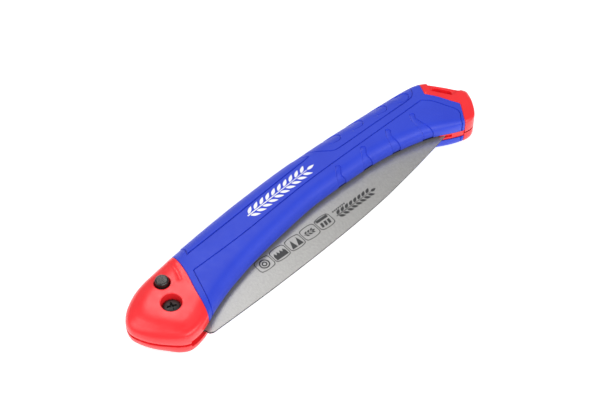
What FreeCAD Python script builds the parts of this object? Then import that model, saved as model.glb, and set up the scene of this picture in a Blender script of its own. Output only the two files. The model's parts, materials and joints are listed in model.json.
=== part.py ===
import FreeCAD, Part
import math
import os
import Sketcher
from FreeCAD import Vector

# Folding pruning saw, folded: two moulded handle halves with soft grips, a steel blade on a bolted
# pivot, and a sprung lock button. Millimetres. Every piece is modelled about the pivot axis, with +X
# from the pivot to the tail, +Y towards the back of the handle and +Z up from the face it lies on. Its
# Placement then moves it to the part's frame, whose origin is the middle of the underside.

SHEET_VALUES = [
    # where the pivot axis stands in the part's frame
    ("pivot_x", -97.45),
    ("pivot_y", -6.4),
    # handle
    ("case_thick", 20.5),
    ("grip_thick", 2.2),
    ("slot_low", 8.0),
    ("slot_high", 12.5),
    ("gap_low", 9.25),
    ("gap_high", 11.25),
    # blade
    ("blade_low", 9.65),
    ("blade_thick", 1.2),
    ("blade_bore_radius", 4.04),
    # pivot
    ("bushing_radius", 4.0),
    ("bushing_low", 8.0),
    ("bushing_long", 4.5),
    ("bolt_radius", 2.5),
    ("bolt_hole_radius", 2.6),
    ("bolt_seat", 14.6),
    ("bolt_end", 0.6),
    ("bolt_head_radius", 4.7),
    ("bolt_head_high", 2.9),
    ("bolt_head_edge_in", 0.8),
    ("bolt_head_edge_drop", 0.9),
    ("dome", 0.1),
    ("end_chamfer", 0.4),
    ("recess_radius", 5.45),
    ("nut_seat", 6.5),
    ("flat_washer_radius", 5.0),
    ("flat_washer_thick", 1.0),
    ("spring_washer_radius", 4.6),
    ("spring_washer_thick", 1.1),
    ("nut_flats", 8.0),
    ("nut_high", 4.0),
    ("thrust_washer_radius", 8.0),
    ("thrust_washer_thick", 0.38),
    # lock button
    ("button_x", 4.1),
    ("button_y", 13.0),
    ("button_radius", 3.6),
    ("button_top", 23.0),
    ("button_edge_in", 0.5),
    ("button_edge_drop", 0.6),
    ("button_guide_radius", 3.68),
    ("button_guide_top", 15.5),
    ("button_mouth_radius", 4.3),
    ("collar_radius", 4.6),
    ("collar_low", 9.2),
    ("collar_top", 11.2),
    ("collar_relief_radius", 4.8),
    ("stem_radius", 2.0),
    ("stem_low", 5.0),
    ("spring_pocket_radius", 4.9),
    ("spring_seat", 1.8),
    ("spring_radius", 3.3),
    ("spring_wire_radius", 0.35),
    ("spring_turns", 5.0),
    ("spring_play", 0.02),
    # screws that join the halves
    ("screw_radius", 1.5),
    ("screw_clear_radius", 1.7),
    ("screw_head_radius", 2.8),
    ("screw_head_chamfer", 0.7),
    ("screw_recess_radius", 3.2),
    ("screw_head_low", 0.9),
    ("screw_seat", 3.1),
    ("screw_end", 15.0),
    ("screw_point_long", 1.5),
    ("screw_point_radius", 0.3),
    ("screw_pilot_end", 16.0),
    # lanyard slot through the tail
    ("lanyard_x", 207.1),
    ("lanyard_y", 17.0),
    ("lanyard_long", 11.7),
    ("lanyard_wide", 4.2),
    ("lanyard_tilt", -57.0),
    ("lanyard_tray_deep", 2.6),
]

# Heights just past the two broad faces, for tools that cut right through, and a distance past every
# side of the saw.
BELOW = "-1"
ABOVE = "Sizes.case_thick + 1"
FAR = "300"

# Widest outline of the handle, anticlockwise from the hollow side of the head.
OUTLINE = [
    (10.0, -17.4), (18.0, -13.6), (32.0, -8.3), (54.0, -2.6), (77.0, 1.6),
    (100.0, 5.0), (122.0, 5.6), (146.0, 5.4), (165.0, 3.1), (182.0, -1.2),
    (195.5, -7.2), (201.0, -9.2), (206.0, -9.4), (209.4, -7.2), (214.2, -0.4),
    (217.7, 5.4), (219.1, 8.9), (218.1, 11.6), (211.8, 19.6), (205.9, 26.7),
    (201.6, 30.2), (194.6, 32.7), (178.0, 34.0), (150.0, 34.8), (122.0, 35.0),
    (95.0, 34.0), (60.0, 31.2), (30.0, 27.5), (8.0, 24.3), (-6.0, 21.3),
    (-16.5, 16.0), (-22.6, 9.8), (-24.2, 4.2), (-22.6, -1.4), (-19.2, -7.6),
    (-13.8, -14.0), (-8.6, -18.9), (-4.6, -20.9), (0.0, -20.9), (5.5, -19.4),
]
# Where the outline is divided, and how far its long edges are rounded there: the hollow side of the
# head, both ends of the tail, and the back of the head.
DIVISIONS = [(0, 4.8), (10, 2.6), (20, 2.4), (28, 5.6)]

# Where the soft grip meets the hard head and the hard tail, from the hollow side to the back.
HEAD_LINE = [(4.6, -26.0), (9.3, -16.7), (14.4, -1.0), (18.0, 12.0), (19.6, 24.0), (20.4, 40.0)]
TAIL_LINE = [(203.4, 40.0), (200.6, 28.5), (197.2, 21.0), (204.8, 9.3), (207.4, 3.4),
             (207.0, 2.0), (201.6, -6.0), (198.6, -12.0), (196.0, -24.0)]

# Plan of the wide blade slot, and of the narrow gap that leaves the head open for the tang's swing.
# Past the slot's end, the hard plastic comes out to the surface between the two grips.
SLOT_END = 193.6
SLOT_PLAN = [(-4.0, -40.0), (SLOT_END, -40.0), (SLOT_END, 2.0), (186.0, 12.0), (14.0, 12.0),
             (14.0, -9.0), (-4.0, -14.0)]
RIB_BACK = 1.0
GAP_PLAN = [(-40.0, -40.0), (14.0, -40.0), (14.0, 18.2), (1.5, 18.2), (1.5, 40.0), (-40.0, 40.0)]

# Places of the screws that join the halves, along the back and in the tail.
SCREWS = [(27.0, 19.5), (69.0, 22.0), (111.0, 23.4), (153.0, 23.5), (193.0, 22.5), (202.5, 4.0)]
POCKET_GAP = 6.0
POCKET_FRONT = 14.5
POCKET_BACK = 2.5
POCKET_SKIN = 4.0

# Plan of the tray round the lanyard slot, about the slot's middle, with the slot along X.
LANYARD_TRAY = [(-6.3, -2.4), (6.3, -2.4), (12.7, 9.0), (-12.6, 9.0)]

# Cross recesses: the width of a bar, how far it reaches from the middle, and the depth.
BOLT_DRIVE = (1.1, 2.3, 1.7)
SCREW_DRIVE = (0.8, 1.6, 1.2)

# Half the split of the nut's spring washer, and the section taken off the nut's corners: out from a
# corner, and up from the outer face.
SPLIT_HALF = 0.4
NUT_BEVEL = [(1.0, 1.2), (-0.9, 0.0), (-0.9, -1.0), (1.0, -1.0)]

# Degrees round the collar's relief from the hub to the tang's shut shoulder and to its open shoulder.
SHUT_SHOULDER = 96
OPEN_SHOULDER = 82

# Blade: heel, spine and tip, and the line that the tooth points lie on.
HEEL = [(2.0, -16.2), (6.2, -18.9)]
HEEL_MIDDLE = (6.9, -21.4)
SPINE = [(9.2, -22.5), (50.0, -21.3), (95.0, -18.6), (130.0, -15.1), (160.0, -10.0), (191.3, -3.6)]
LUG = [(10.6, 13.2), (13.0, 11.5)]
TOOTH_START = (14.2, 7.9)
TOOTH_BEND = (130.0, 9.7)
TOOTH_BEND_RADIUS = 205.0
TOOTH_COUNT = 47
TOOTH_PITCH = 3.63
TOOTH_DEPTH = 2.4
TOOTH_LEAN = 0.42
TIP = [(187.0, -0.6), (191.8, -2.9)]

doc = FreeCAD.newDocument("folding_saw")
sheet = doc.addObject("Spreadsheet::Sheet", "Sizes")
for row, (alias, number) in enumerate(SHEET_VALUES, start=1):
    sheet.set(f"A{row}", alias)
    sheet.set(f"B{row}", str(number))
    sheet.setAlias(f"B{row}", alias)
doc.recompute()
size = {alias: float(sheet.get(alias)) for alias, number in SHEET_VALUES}
pieces = []


def place(shape, x="0", y="0", z="0"):
    """Binds an object's position to expressions."""
    for axis, expression in zip("xyz", (x, y, z)):
        shape.setExpression(f"Placement.Base.{axis}", expression)


def piece(shape, label, x="0", y="0", z="0"):
    """Makes an object one of the saw's pieces, moved from the pivot axis to the part's frame."""
    shape.Label = label
    place(shape, f"Sizes.pivot_x + {x}", f"Sizes.pivot_y + {y}", z)
    pieces.append(shape)
    return shape


def drum(name, x, y, low, high, radius):
    """An upright cylinder between two heights."""
    cylinder = doc.addObject("Part::Cylinder", name)
    cylinder.setExpression("Radius", radius)
    cylinder.setExpression("Height", f"({high}) - ({low})")
    place(cylinder, x, y, low)
    return cylinder


def block(name, corner, opposite):
    """A box between two corners, each a triple of expressions."""
    box = doc.addObject("Part::Box", name)
    for side, first, last in zip(("Length", "Width", "Height"), corner, opposite):
        box.setExpression(side, f"({last}) - ({first})")
    place(box, *corner)
    return box


def boolean(kind, name, base, tool):
    """A Part::Cut or Part::Common of two objects."""
    result = doc.addObject(f"Part::{kind}", name)
    result.Base = base
    result.Tool = tool
    return result


def join(name, shapes):
    """Several objects as one tool."""
    union = doc.addObject("Part::MultiFuse", name)
    union.Shapes = shapes
    return union


def closed_lines(points):
    """Line segments round a closed polygon."""
    ends = points[1:] + points[:1]
    return [Part.LineSegment(Vector(*a, 0), Vector(*b, 0)) for a, b in zip(points, ends)]


def prism(name, curves, low, high):
    """A plan sketch drawn up between two heights."""
    sketch = doc.addObject("Sketcher::SketchObject", f"{name}_plan")
    sketch.addGeometry(curves, False)
    place(sketch, z=low)
    solid = doc.addObject("Part::Extrusion", name)
    solid.Base = sketch
    solid.Dir = Vector(0, 0, 1)
    solid.Solid = True
    solid.setExpression("LengthFwd", f"({high}) - ({low})")
    return solid


def spline(points):
    """A smooth curve through the points."""
    curve = Part.BSplineCurve()
    curve.interpolate([Vector(*p, 0) for p in points])
    return curve


def outline_curves(inset):
    """The outline, drawn in by inset, as one smooth closed curve cut at its divisions."""
    points = []
    spacing = [0.0]
    for i, (x, y) in enumerate(OUTLINE):
        before = OUTLINE[i - 1]
        after = OUTLINE[(i + 1) % len(OUTLINE)]
        along = Vector(after[0] - before[0], after[1] - before[1], 0).normalize()
        points.append(Vector(x - along.y * inset, y + along.x * inset, 0))
        spacing.append(spacing[-1] + math.hypot(after[0] - x, after[1] - y))
    whole = Part.BSplineCurve()
    whole.interpolate(Points=points, Parameters=spacing, PeriodicFlag=True)
    cuts = [index for index, radius in DIVISIONS] + [len(OUTLINE)]
    curves = []
    for first, last in zip(cuts, cuts[1:]):
        curve = whole.copy()
        curve.segment(spacing[first], spacing[last])
        curves.append(curve)
    return curves


def round_edges(name, block_object):
    """Fillets the long edges, from each division's radius to the next one's."""
    doc.recompute()
    chosen = []
    for number, edge in enumerate(block_object.Shape.Edges, start=1):
        if edge.BoundBox.ZLength < 0.001:
            ends = [edge.valueAt(edge.FirstParameter), edge.valueAt(edge.LastParameter)]
            chosen.append((number, *[edge_radius(end) for end in ends]))
    rounded = doc.addObject("Part::Fillet", name)
    rounded.Base = block_object
    rounded.Edges = chosen
    return rounded


def edge_radius(point):
    """The rounding at the division nearest to a point."""
    return min(DIVISIONS, key=lambda d: math.dist(OUTLINE[d[0]], (point.x, point.y)))[1]


def new_body(label):
    """An empty body."""
    return doc.addObject("PartDesign::Body", label)


def new_sketch(body, plane, name):
    """An empty sketch on one of the body's own origin planes."""
    sketch = body.newObject("Sketcher::SketchObject", name)
    origin_plane = next(f for f in body.Origin.OriginFeatures if f.Role == plane)
    sketch.AttachmentSupport = [(origin_plane, "")]
    sketch.MapMode = "FlatFace"
    return sketch


def circle(sketch, radius, guess):
    """A circle about the sketch's origin, its radius bound to an expression."""
    index = sketch.addGeometry(Part.Circle(Vector(0, 0, 0), Vector(0, 0, 1), guess), False)
    sketch.addConstraint(Sketcher.Constraint("Coincident", index, 3, -1, 1))
    number = sketch.addConstraint(Sketcher.Constraint("Radius", index, guess))
    sketch.setExpression(f"Constraints[{number}]", radius)


def ring_body(label, low, thick, outer, inner):
    """A flat ring: two circles padded up."""
    body = new_body(label)
    sketch = new_sketch(body, "XY_Plane", f"{label}_circles")
    circle(sketch, outer, 3.0)
    circle(sketch, inner, 2.0)
    pad = body.newObject("PartDesign::Pad", f"{label}_pad")
    pad.Profile = sketch
    pad.setExpression("Length", thick)
    return piece(body, label, z=low)


def turned_body(label, profile):
    """A turned piece. The profile is a list of radius and height expressions in order round half of
    its section; each corner is held by two dimensions bound to them."""
    body = new_body(label)
    sketch = new_sketch(body, "XZ_Plane", f"{label}_profile")
    corners = [(value(radius), value(height)) for radius, height in profile]
    sketch.addGeometry(closed_lines(corners), False)
    for i, (radius, height) in enumerate(profile):
        last = (i - 1) % len(profile)
        sketch.addConstraint(Sketcher.Constraint("Coincident", last, 2, i, 1))
        if corners[i][0] == 0:
            sketch.addConstraint(Sketcher.Constraint("PointOnObject", i, 1, -2))
        else:
            across = Sketcher.Constraint("DistanceX", -1, 1, i, 1, corners[i][0])
            sketch.setExpression(f"Constraints[{sketch.addConstraint(across)}]", radius)
        up = Sketcher.Constraint("DistanceY", -1, 1, i, 1, corners[i][1])
        sketch.setExpression(f"Constraints[{sketch.addConstraint(up)}]", height)
    turn = body.newObject("PartDesign::Revolution", f"{label}_turn")
    turn.Profile = sketch
    turn.ReferenceAxis = (sketch, ["V_Axis"])
    turn.Angle = 360.0
    return body


def value(expression):
    """The number that an expression in the sheet's cells stands for."""
    total = 0.0
    sign = 1.0
    for word in expression.split():
        if word in ("+", "-"):
            sign = 1.0 if word == "+" else -1.0
        elif word.startswith("Sizes."):
            total += sign * size[word[len("Sizes."):]]
        else:
            total += sign * float(word)
    return total


def drive_recess(body, height, width, reach, depth, upward):
    """A cross recess sunk into a screw's head. Its bars lie along X and Y."""
    half = width / 2
    arm = [(half, half), (half, reach), (-half, reach), (-half, half)]
    cross = []
    for quarter in range(4):
        for x, y in arm[:3]:
            for _ in range(quarter):
                x, y = -y, x
            cross.append((x, y))
    sketch = new_sketch(body, "XY_Plane", f"{body.Name}_cross")
    sketch.addGeometry(closed_lines(cross), False)
    sketch.setExpression("AttachmentOffset.Base.z", height)
    doc.recompute()
    solid_before = body.Shape.Volume
    pocket = body.newObject("PartDesign::Pocket", f"{body.Name}_drive")
    pocket.Profile = sketch
    pocket.Length = depth
    pocket.Reversed = not upward
    doc.recompute()
    if not body.Shape.Volume < solid_before - depth:
        raise RuntimeError(f"{body.Label}: the cross recess cuts nothing")


def make_shells():
    """The two halves and their soft grips, all cut from one rounded form."""
    outline = prism("outline_block", outline_curves(0.0), "0", "Sizes.case_thick")
    outer = round_edges("outer_form", outline)
    core = prism("core_form", outline_curves(size["grip_thick"]), "Sizes.grip_thick",
                 "Sizes.case_thick - Sizes.grip_thick")
    middle = "Sizes.case_thick / 2"
    slot = prism("blade_slot", closed_lines(SLOT_PLAN), "Sizes.slot_low", "Sizes.slot_high")
    gap = prism("tang_gap", closed_lines(GAP_PLAN), "Sizes.gap_low", "Sizes.gap_high")
    edges = [spline(HEAD_LINE), Part.LineSegment(Vector(*HEAD_LINE[-1], 0), Vector(*TAIL_LINE[0], 0))]
    edges += closed_lines(TAIL_LINE)[:-1]
    edges += [Part.LineSegment(Vector(*TAIL_LINE[-1], 0), Vector(*HEAD_LINE[0], 0))]
    region = prism("grip_region", edges, BELOW, ABOVE)
    rib = block("rib_zone", (str(SLOT_END), f"-{FAR}", "Sizes.slot_low"),
                (FAR, str(RIB_BACK), "Sizes.slot_high"))
    soft = boolean("Cut", "grip_zone", boolean("Cut", "skin_zone", region, core), rib)
    lanyard = lanyard_tools()
    for side, low, high in (("upper", middle, ABOVE), ("lower", BELOW, middle)):
        bounds = block(f"{side}_space", (f"-{FAR}", f"-{FAR}", low), (FAR, FAR, high))
        half = boolean("Common", f"{side}_half", outer, bounds)
        tools = [slot, gap] + lanyard + side_tools(side)
        worked = boolean("Cut", f"{side}_worked", half, join(f"{side}_tools", tools))
        piece(boolean("Cut", f"shell_{side}", worked, soft), f"shell_{side}")
        piece(boolean("Common", f"grip_{side}", worked, soft), f"grip_{side}")


def lanyard_tools():
    """The slot for a lanyard through the tail, with a shallow tray round it on both faces."""
    half_wide = size["lanyard_wide"] / 2
    half_run = size["lanyard_long"] / 2 - half_wide
    corners = [Vector(half_run * u, half_wide * v, 0) for u, v in ((-1, -1), (1, -1), (1, 1), (-1, 1))]
    ends = [Vector(u * (half_run + half_wide), 0, 0) for u in (1, -1)]
    hole = [Part.LineSegment(corners[0], corners[1]), Part.Arc(corners[1], ends[0], corners[2]),
            Part.LineSegment(corners[2], corners[3]), Part.Arc(corners[3], ends[1], corners[0])]
    tray = closed_lines(LANYARD_TRAY)
    tools = []
    for name, curves, low, high in (
            ("lanyard_hole", hole, BELOW, ABOVE),
            ("lanyard_tray_upper", tray, "Sizes.case_thick - Sizes.lanyard_tray_deep", ABOVE),
            ("lanyard_tray_lower", tray, BELOW, "Sizes.lanyard_tray_deep")):
        tool = prism(name, curves, low, high)
        place(tool.Base, "Sizes.lanyard_x", "Sizes.lanyard_y", low)
        tool.Base.setExpression("Placement.Rotation.Angle", "Sizes.lanyard_tilt")
        tools.append(tool)
    return tools


def side_tools(side):
    """The bores, seats and hollows of one half."""
    middle = "Sizes.case_thick / 2"
    button = ("Sizes.button_x", "Sizes.button_y")
    bushing_top = "Sizes.bushing_low + Sizes.bushing_long"
    if side == "upper":
        tools = [
            drum("bolt_recess", "0", "0", "Sizes.bolt_seat", ABOVE, "Sizes.recess_radius"),
            drum("bolt_hole_upper", "0", "0", middle, ABOVE, "Sizes.bolt_hole_radius"),
            drum("bushing_seat_upper", "0", "0", middle, bushing_top, "Sizes.bushing_radius"),
            drum("button_guide", *button, middle, ABOVE, "Sizes.button_guide_radius"),
            drum("button_mouth", *button, "Sizes.button_guide_top", ABOVE, "Sizes.button_mouth_radius"),
        ]
    else:
        tools = [
            drum("nut_recess", "0", "0", BELOW, "Sizes.nut_seat", "Sizes.recess_radius"),
            drum("bolt_hole_lower", "0", "0", BELOW, middle, "Sizes.bolt_hole_radius"),
            drum("bushing_seat_lower", "0", "0", "Sizes.bushing_low", middle, "Sizes.bushing_radius"),
            drum("spring_pocket", *button, "Sizes.spring_seat", middle, "Sizes.spring_pocket_radius"),
        ]
    for i, (x, y) in enumerate(SCREWS, start=1):
        if side == "upper":
            tools.append(drum(f"pilot_{i}", str(x), str(y), middle, "Sizes.screw_pilot_end",
                              "Sizes.screw_radius"))
        else:
            tools.append(drum(f"screw_way_{i}", str(x), str(y), BELOW, middle,
                              "Sizes.screw_clear_radius"))
            tools.append(drum(f"screw_recess_{i}", str(x), str(y), BELOW, "Sizes.screw_seat",
                              "Sizes.screw_recess_radius"))
    for i in range(len(SCREWS) - 2):
        (first_x, first_y), (last_x, last_y) = SCREWS[i:i + 2]
        back = (first_y + last_y) / 2 + POCKET_BACK
        low, high = (middle, f"Sizes.case_thick - {POCKET_SKIN}")
        if side == "lower":
            low, high = (str(POCKET_SKIN), middle)
        tools.append(block(f"{side}_hollow_{i + 1}", (str(first_x + POCKET_GAP), str(POCKET_FRONT), low),
                           (str(last_x - POCKET_GAP), str(back), high)))
    return tools


def tooth_line(run):
    """The point at a given run along the tooth line, and the direction that the teeth point there."""
    start = Vector(*TOOTH_START, 0)
    bend = Vector(*TOOTH_BEND, 0)
    along = (bend - start).normalize()
    straight = (bend - start).Length
    outward = Vector(-along.y, along.x, 0)
    if run <= straight:
        return start + along * run, outward
    turn = (run - straight) / TOOTH_BEND_RADIUS
    centre = bend - outward * TOOTH_BEND_RADIUS
    direction = outward * math.cos(turn) + along * math.sin(turn)
    return centre + direction * TOOTH_BEND_RADIUS, direction


def tooth_points():
    """Gullets and points of all the teeth, from the heel to the tip."""
    points = []
    for k in range(TOOTH_COUNT):
        gullet, outward = tooth_line(k * TOOTH_PITCH)
        points.append(gullet - outward * TOOTH_DEPTH)
        points.append(tooth_line((k + TOOTH_LEAN) * TOOTH_PITCH)[0])
    gullet, outward = tooth_line(TOOTH_COUNT * TOOTH_PITCH)
    points.append(gullet - outward * TOOTH_DEPTH)
    return points


def make_blade():
    """The blade: a flat blank with a toothed edge, a hub that clears the lock button's collar, and the
    two shoulders that the collar stands against when the blade is shut and when it is fully open."""
    body = new_body("saw_blade")
    button = Vector(size["button_x"], size["button_y"], 0)
    reach = button.Length
    aim = button * (1 / reach)
    relief = size["collar_relief_radius"]
    shut = math.atan2(aim.y, aim.x)
    hub_end = aim * (reach - relief)
    shut_mid = button + polar(relief, shut - math.pi + math.radians(SHUT_SHOULDER / 2))
    shut_end = button + polar(relief, shut - math.pi + math.radians(SHUT_SHOULDER))
    open_mid = button * -1 + polar(relief, shut - math.radians(OPEN_SHOULDER / 2))
    open_end = button * -1 + polar(relief, shut - math.radians(OPEN_SHOULDER))
    hub_back = polar(reach - relief, shut + math.pi / 2)
    teeth = tooth_points()
    edges = [Part.Arc(hub_end * -1, hub_back, hub_end), Part.Arc(hub_end, shut_mid, shut_end)]
    outline = [shut_end] + [Vector(*p, 0) for p in LUG] + teeth
    outline += [Vector(*p, 0) for p in TIP] + [Vector(*SPINE[-1], 0)]
    edges += [Part.LineSegment(a, b) for a, b in zip(outline, outline[1:])]
    edges.append(spline(SPINE))
    heel = Vector(*HEEL[-1], 0)
    edges.append(Part.Arc(heel, Vector(*HEEL_MIDDLE, 0), Vector(*SPINE[0], 0)))
    edges += [Part.LineSegment(open_end, Vector(*HEEL[0], 0)), Part.LineSegment(Vector(*HEEL[0], 0), heel)]
    edges.append(Part.Arc(hub_end * -1, open_mid, open_end))
    sketch = new_sketch(body, "XY_Plane", "blade_blank")
    sketch.addGeometry(edges, False)
    circle(sketch, "Sizes.blade_bore_radius", 4.0)
    pad = body.newObject("PartDesign::Pad", "blade_pad")
    pad.Profile = sketch
    pad.setExpression("Length", "Sizes.blade_thick")
    piece(body, "saw_blade", z="Sizes.blade_low")


def polar(radius, angle):
    """A point at a distance and an angle from the origin."""
    return Vector(radius * math.cos(angle), radius * math.sin(angle), 0)


def make_pivot():
    """The bolt, its nut and washers, the sleeve that the blade turns on, and the blade's washers."""
    head_top = "Sizes.bolt_seat + Sizes.bolt_head_high"
    bolt = turned_body("pivot_bolt", [
        ("0", "Sizes.bolt_end"), ("Sizes.bolt_radius - Sizes.end_chamfer", "Sizes.bolt_end"),
        ("Sizes.bolt_radius", "Sizes.bolt_end + Sizes.end_chamfer"),
        ("Sizes.bolt_radius", "Sizes.bolt_seat"), ("Sizes.bolt_head_radius", "Sizes.bolt_seat"),
        ("Sizes.bolt_head_radius", f"{head_top} - Sizes.bolt_head_edge_drop"),
        ("Sizes.bolt_head_radius - Sizes.bolt_head_edge_in", f"{head_top} - Sizes.dome"),
        ("0", head_top)])
    drive_recess(bolt, head_top, *BOLT_DRIVE, True)
    piece(bolt, "pivot_bolt")
    ring_body("pivot_bushing", "Sizes.bushing_low", "Sizes.bushing_long", "Sizes.bushing_radius",
              "Sizes.bolt_hole_radius")
    washer = ("Sizes.thrust_washer_thick", "Sizes.thrust_washer_radius", "Sizes.bushing_radius")
    ring_body("thrust_washer_upper", "Sizes.gap_high - Sizes.thrust_washer_thick", *washer)
    ring_body("thrust_washer_lower", "Sizes.gap_low", *washer)
    ring_body("nut_flat_washer", "Sizes.nut_seat - Sizes.flat_washer_thick", "Sizes.flat_washer_thick",
              "Sizes.flat_washer_radius", "Sizes.bolt_hole_radius")
    make_spring_washer()
    make_nut()


def make_spring_washer():
    """A lock washer: a ring with one slanting split."""
    high = "Sizes.nut_seat - Sizes.flat_washer_thick"
    low = f"{high} - Sizes.spring_washer_thick"
    ring = boolean("Cut", "spring_ring", drum("spring_disc", "0", "0", low, high,
                                              "Sizes.spring_washer_radius"),
                   drum("spring_disc_hole", "0", "0", BELOW, high, "Sizes.bolt_hole_radius"))
    split = block("spring_split", ("0", f"-{SPLIT_HALF}", BELOW), (FAR, str(SPLIT_HALF), high))
    piece(boolean("Cut", "nut_spring_washer", ring, split), "nut_spring_washer")


def make_nut():
    """A hexagon nut with its corners chamfered on the outer face."""
    body = new_body("pivot_nut")
    corner = size["nut_flats"] / 2 / math.cos(math.pi / 6)
    sketch = new_sketch(body, "XY_Plane", "nut_hexagon")
    corners = [polar(corner, math.pi / 3 * k) for k in range(6)]
    sketch.addGeometry(closed_lines([(p.x, p.y) for p in corners]), False)
    for k in range(6):
        sketch.addConstraint(Sketcher.Constraint("Coincident", k, 2, (k + 1) % 6, 1))
        if k:
            sketch.addConstraint(Sketcher.Constraint("Equal", 0, k))
    rim = sketch.addGeometry(Part.Circle(Vector(0, 0, 0), Vector(0, 0, 1), corner), True)
    sketch.addConstraint(Sketcher.Constraint("Coincident", rim, 3, -1, 1))
    for k in range(6):
        sketch.addConstraint(Sketcher.Constraint("PointOnObject", k, 1, rim))
    number = sketch.addConstraint(Sketcher.Constraint("Radius", rim, corner))
    sketch.setExpression(f"Constraints[{number}]", "Sizes.nut_flats / 2 / cos(30 deg)")
    circle(sketch, "Sizes.bolt_radius", 2.4)
    pad = body.newObject("PartDesign::Pad", "nut_pad")
    pad.Profile = sketch
    pad.setExpression("Length", "Sizes.nut_high")
    doc.recompute()
    full = body.Shape.Volume
    cut = new_sketch(body, "XZ_Plane", "nut_chamfer")
    cut.addGeometry(closed_lines([(corner + x, z) for x, z in NUT_BEVEL]), False)
    groove = body.newObject("PartDesign::Groove", "nut_corners")
    groove.Profile = cut
    groove.ReferenceAxis = (cut, ["V_Axis"])
    groove.Angle = 360.0
    doc.recompute()
    if not body.Shape.Volume < full:
        raise RuntimeError("the nut's chamfer cuts nothing")
    place_low = "Sizes.nut_seat - Sizes.flat_washer_thick - Sizes.spring_washer_thick - Sizes.nut_high"
    piece(body, "pivot_nut", z=place_low)


def make_button():
    """The lock button, a stepped pin with a collar at the blade's height, and its spring."""
    at = ("Sizes.button_x", "Sizes.button_y")
    button = turned_body("lock_button", [
        ("0", "Sizes.stem_low"), ("Sizes.stem_radius - Sizes.end_chamfer", "Sizes.stem_low"),
        ("Sizes.stem_radius", "Sizes.stem_low + Sizes.end_chamfer"),
        ("Sizes.stem_radius", "Sizes.collar_low"), ("Sizes.collar_radius", "Sizes.collar_low"),
        ("Sizes.collar_radius", "Sizes.collar_top"), ("Sizes.button_radius", "Sizes.collar_top"),
        ("Sizes.button_radius", "Sizes.button_top - Sizes.button_edge_drop"),
        ("Sizes.button_radius - Sizes.button_edge_in", "Sizes.button_top - Sizes.dome"),
        ("0", "Sizes.button_top")])
    piece(button, "lock_button", *at)
    coil = doc.addObject("Part::Helix", "spring_coil")
    coil.setExpression("Radius", "Sizes.spring_radius")
    rise = "(Sizes.collar_low - Sizes.spring_seat - 2 * (Sizes.spring_wire_radius + Sizes.spring_play))"
    coil.setExpression("Height", rise)
    coil.setExpression("Pitch", f"{rise} / Sizes.spring_turns")
    section_ring = doc.addObject("Part::Circle", "spring_wire")
    section_ring.setExpression("Radius", "Sizes.spring_wire_radius")
    section_ring.Placement.Rotation = FreeCAD.Rotation(Vector(1, 0, 0), 90)
    place(section_ring, "Sizes.spring_radius")
    sweep = doc.addObject("Part::Sweep", "lock_spring")
    doc.recompute()
    sweep.Sections = [section_ring]
    sweep.Spine = (coil, ["Edge1"])
    sweep.Solid = True
    sweep.Frenet = True
    piece(sweep, "lock_spring", *at, "Sizes.spring_seat + Sizes.spring_wire_radius + Sizes.spring_play")


def make_screws():
    """The self-tapping screws, all alike, driven in from the underside."""
    for i, (x, y) in enumerate(SCREWS, start=1):
        screw = turned_body(f"shell_screw_{i}", [
            ("0", "Sizes.screw_head_low"),
            ("Sizes.screw_head_radius - Sizes.screw_head_chamfer", "Sizes.screw_head_low"),
            ("Sizes.screw_head_radius", "Sizes.screw_head_low + Sizes.screw_head_chamfer"),
            ("Sizes.screw_head_radius", "Sizes.screw_seat"), ("Sizes.screw_radius", "Sizes.screw_seat"),
            ("Sizes.screw_radius", "Sizes.screw_end - Sizes.screw_point_long"),
            ("Sizes.screw_point_radius", "Sizes.screw_end"), ("0", "Sizes.screw_end")])
        drive_recess(screw, "Sizes.screw_head_low", *SCREW_DRIVE, False)
        piece(screw, f"shell_screw_{i}", str(x), str(y))


def check_and_export():
    """Refuses to write anything while any object has failed, then writes each piece."""
    doc.recompute()
    for item in doc.Objects:
        if "Invalid" in item.State or "Error" in item.State:
            raise RuntimeError(f"{item.Label}: {item.State}")
    for item in pieces:
        if item.Shape.isNull() or not item.Shape.isValid() or not item.Shape.Solids:
            raise RuntimeError(f"{item.Label}: its shape is not a valid solid")
    os.makedirs("parts", exist_ok=True)
    for item in pieces:
        item.Shape.exportStep(f"parts/{item.Label}.step")
        box = item.Shape.BoundBox
        print(f"{item.Label:22s} solids {len(item.Shape.Solids)} volume {item.Shape.Volume:9.2f}"
              f" x {box.XMin:8.2f} {box.XMax:8.2f} y {box.YMin:7.2f} {box.YMax:7.2f}"
              f" z {box.ZMin:6.2f} {box.ZMax:6.2f}")


make_shells()
make_blade()
make_pivot()
make_button()
make_screws()
check_and_export()
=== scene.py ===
import json
import math

import bmesh
import bpy
import numpy as np
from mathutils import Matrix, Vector
from mathutils.geometry import delaunay_2d_cdt


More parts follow.
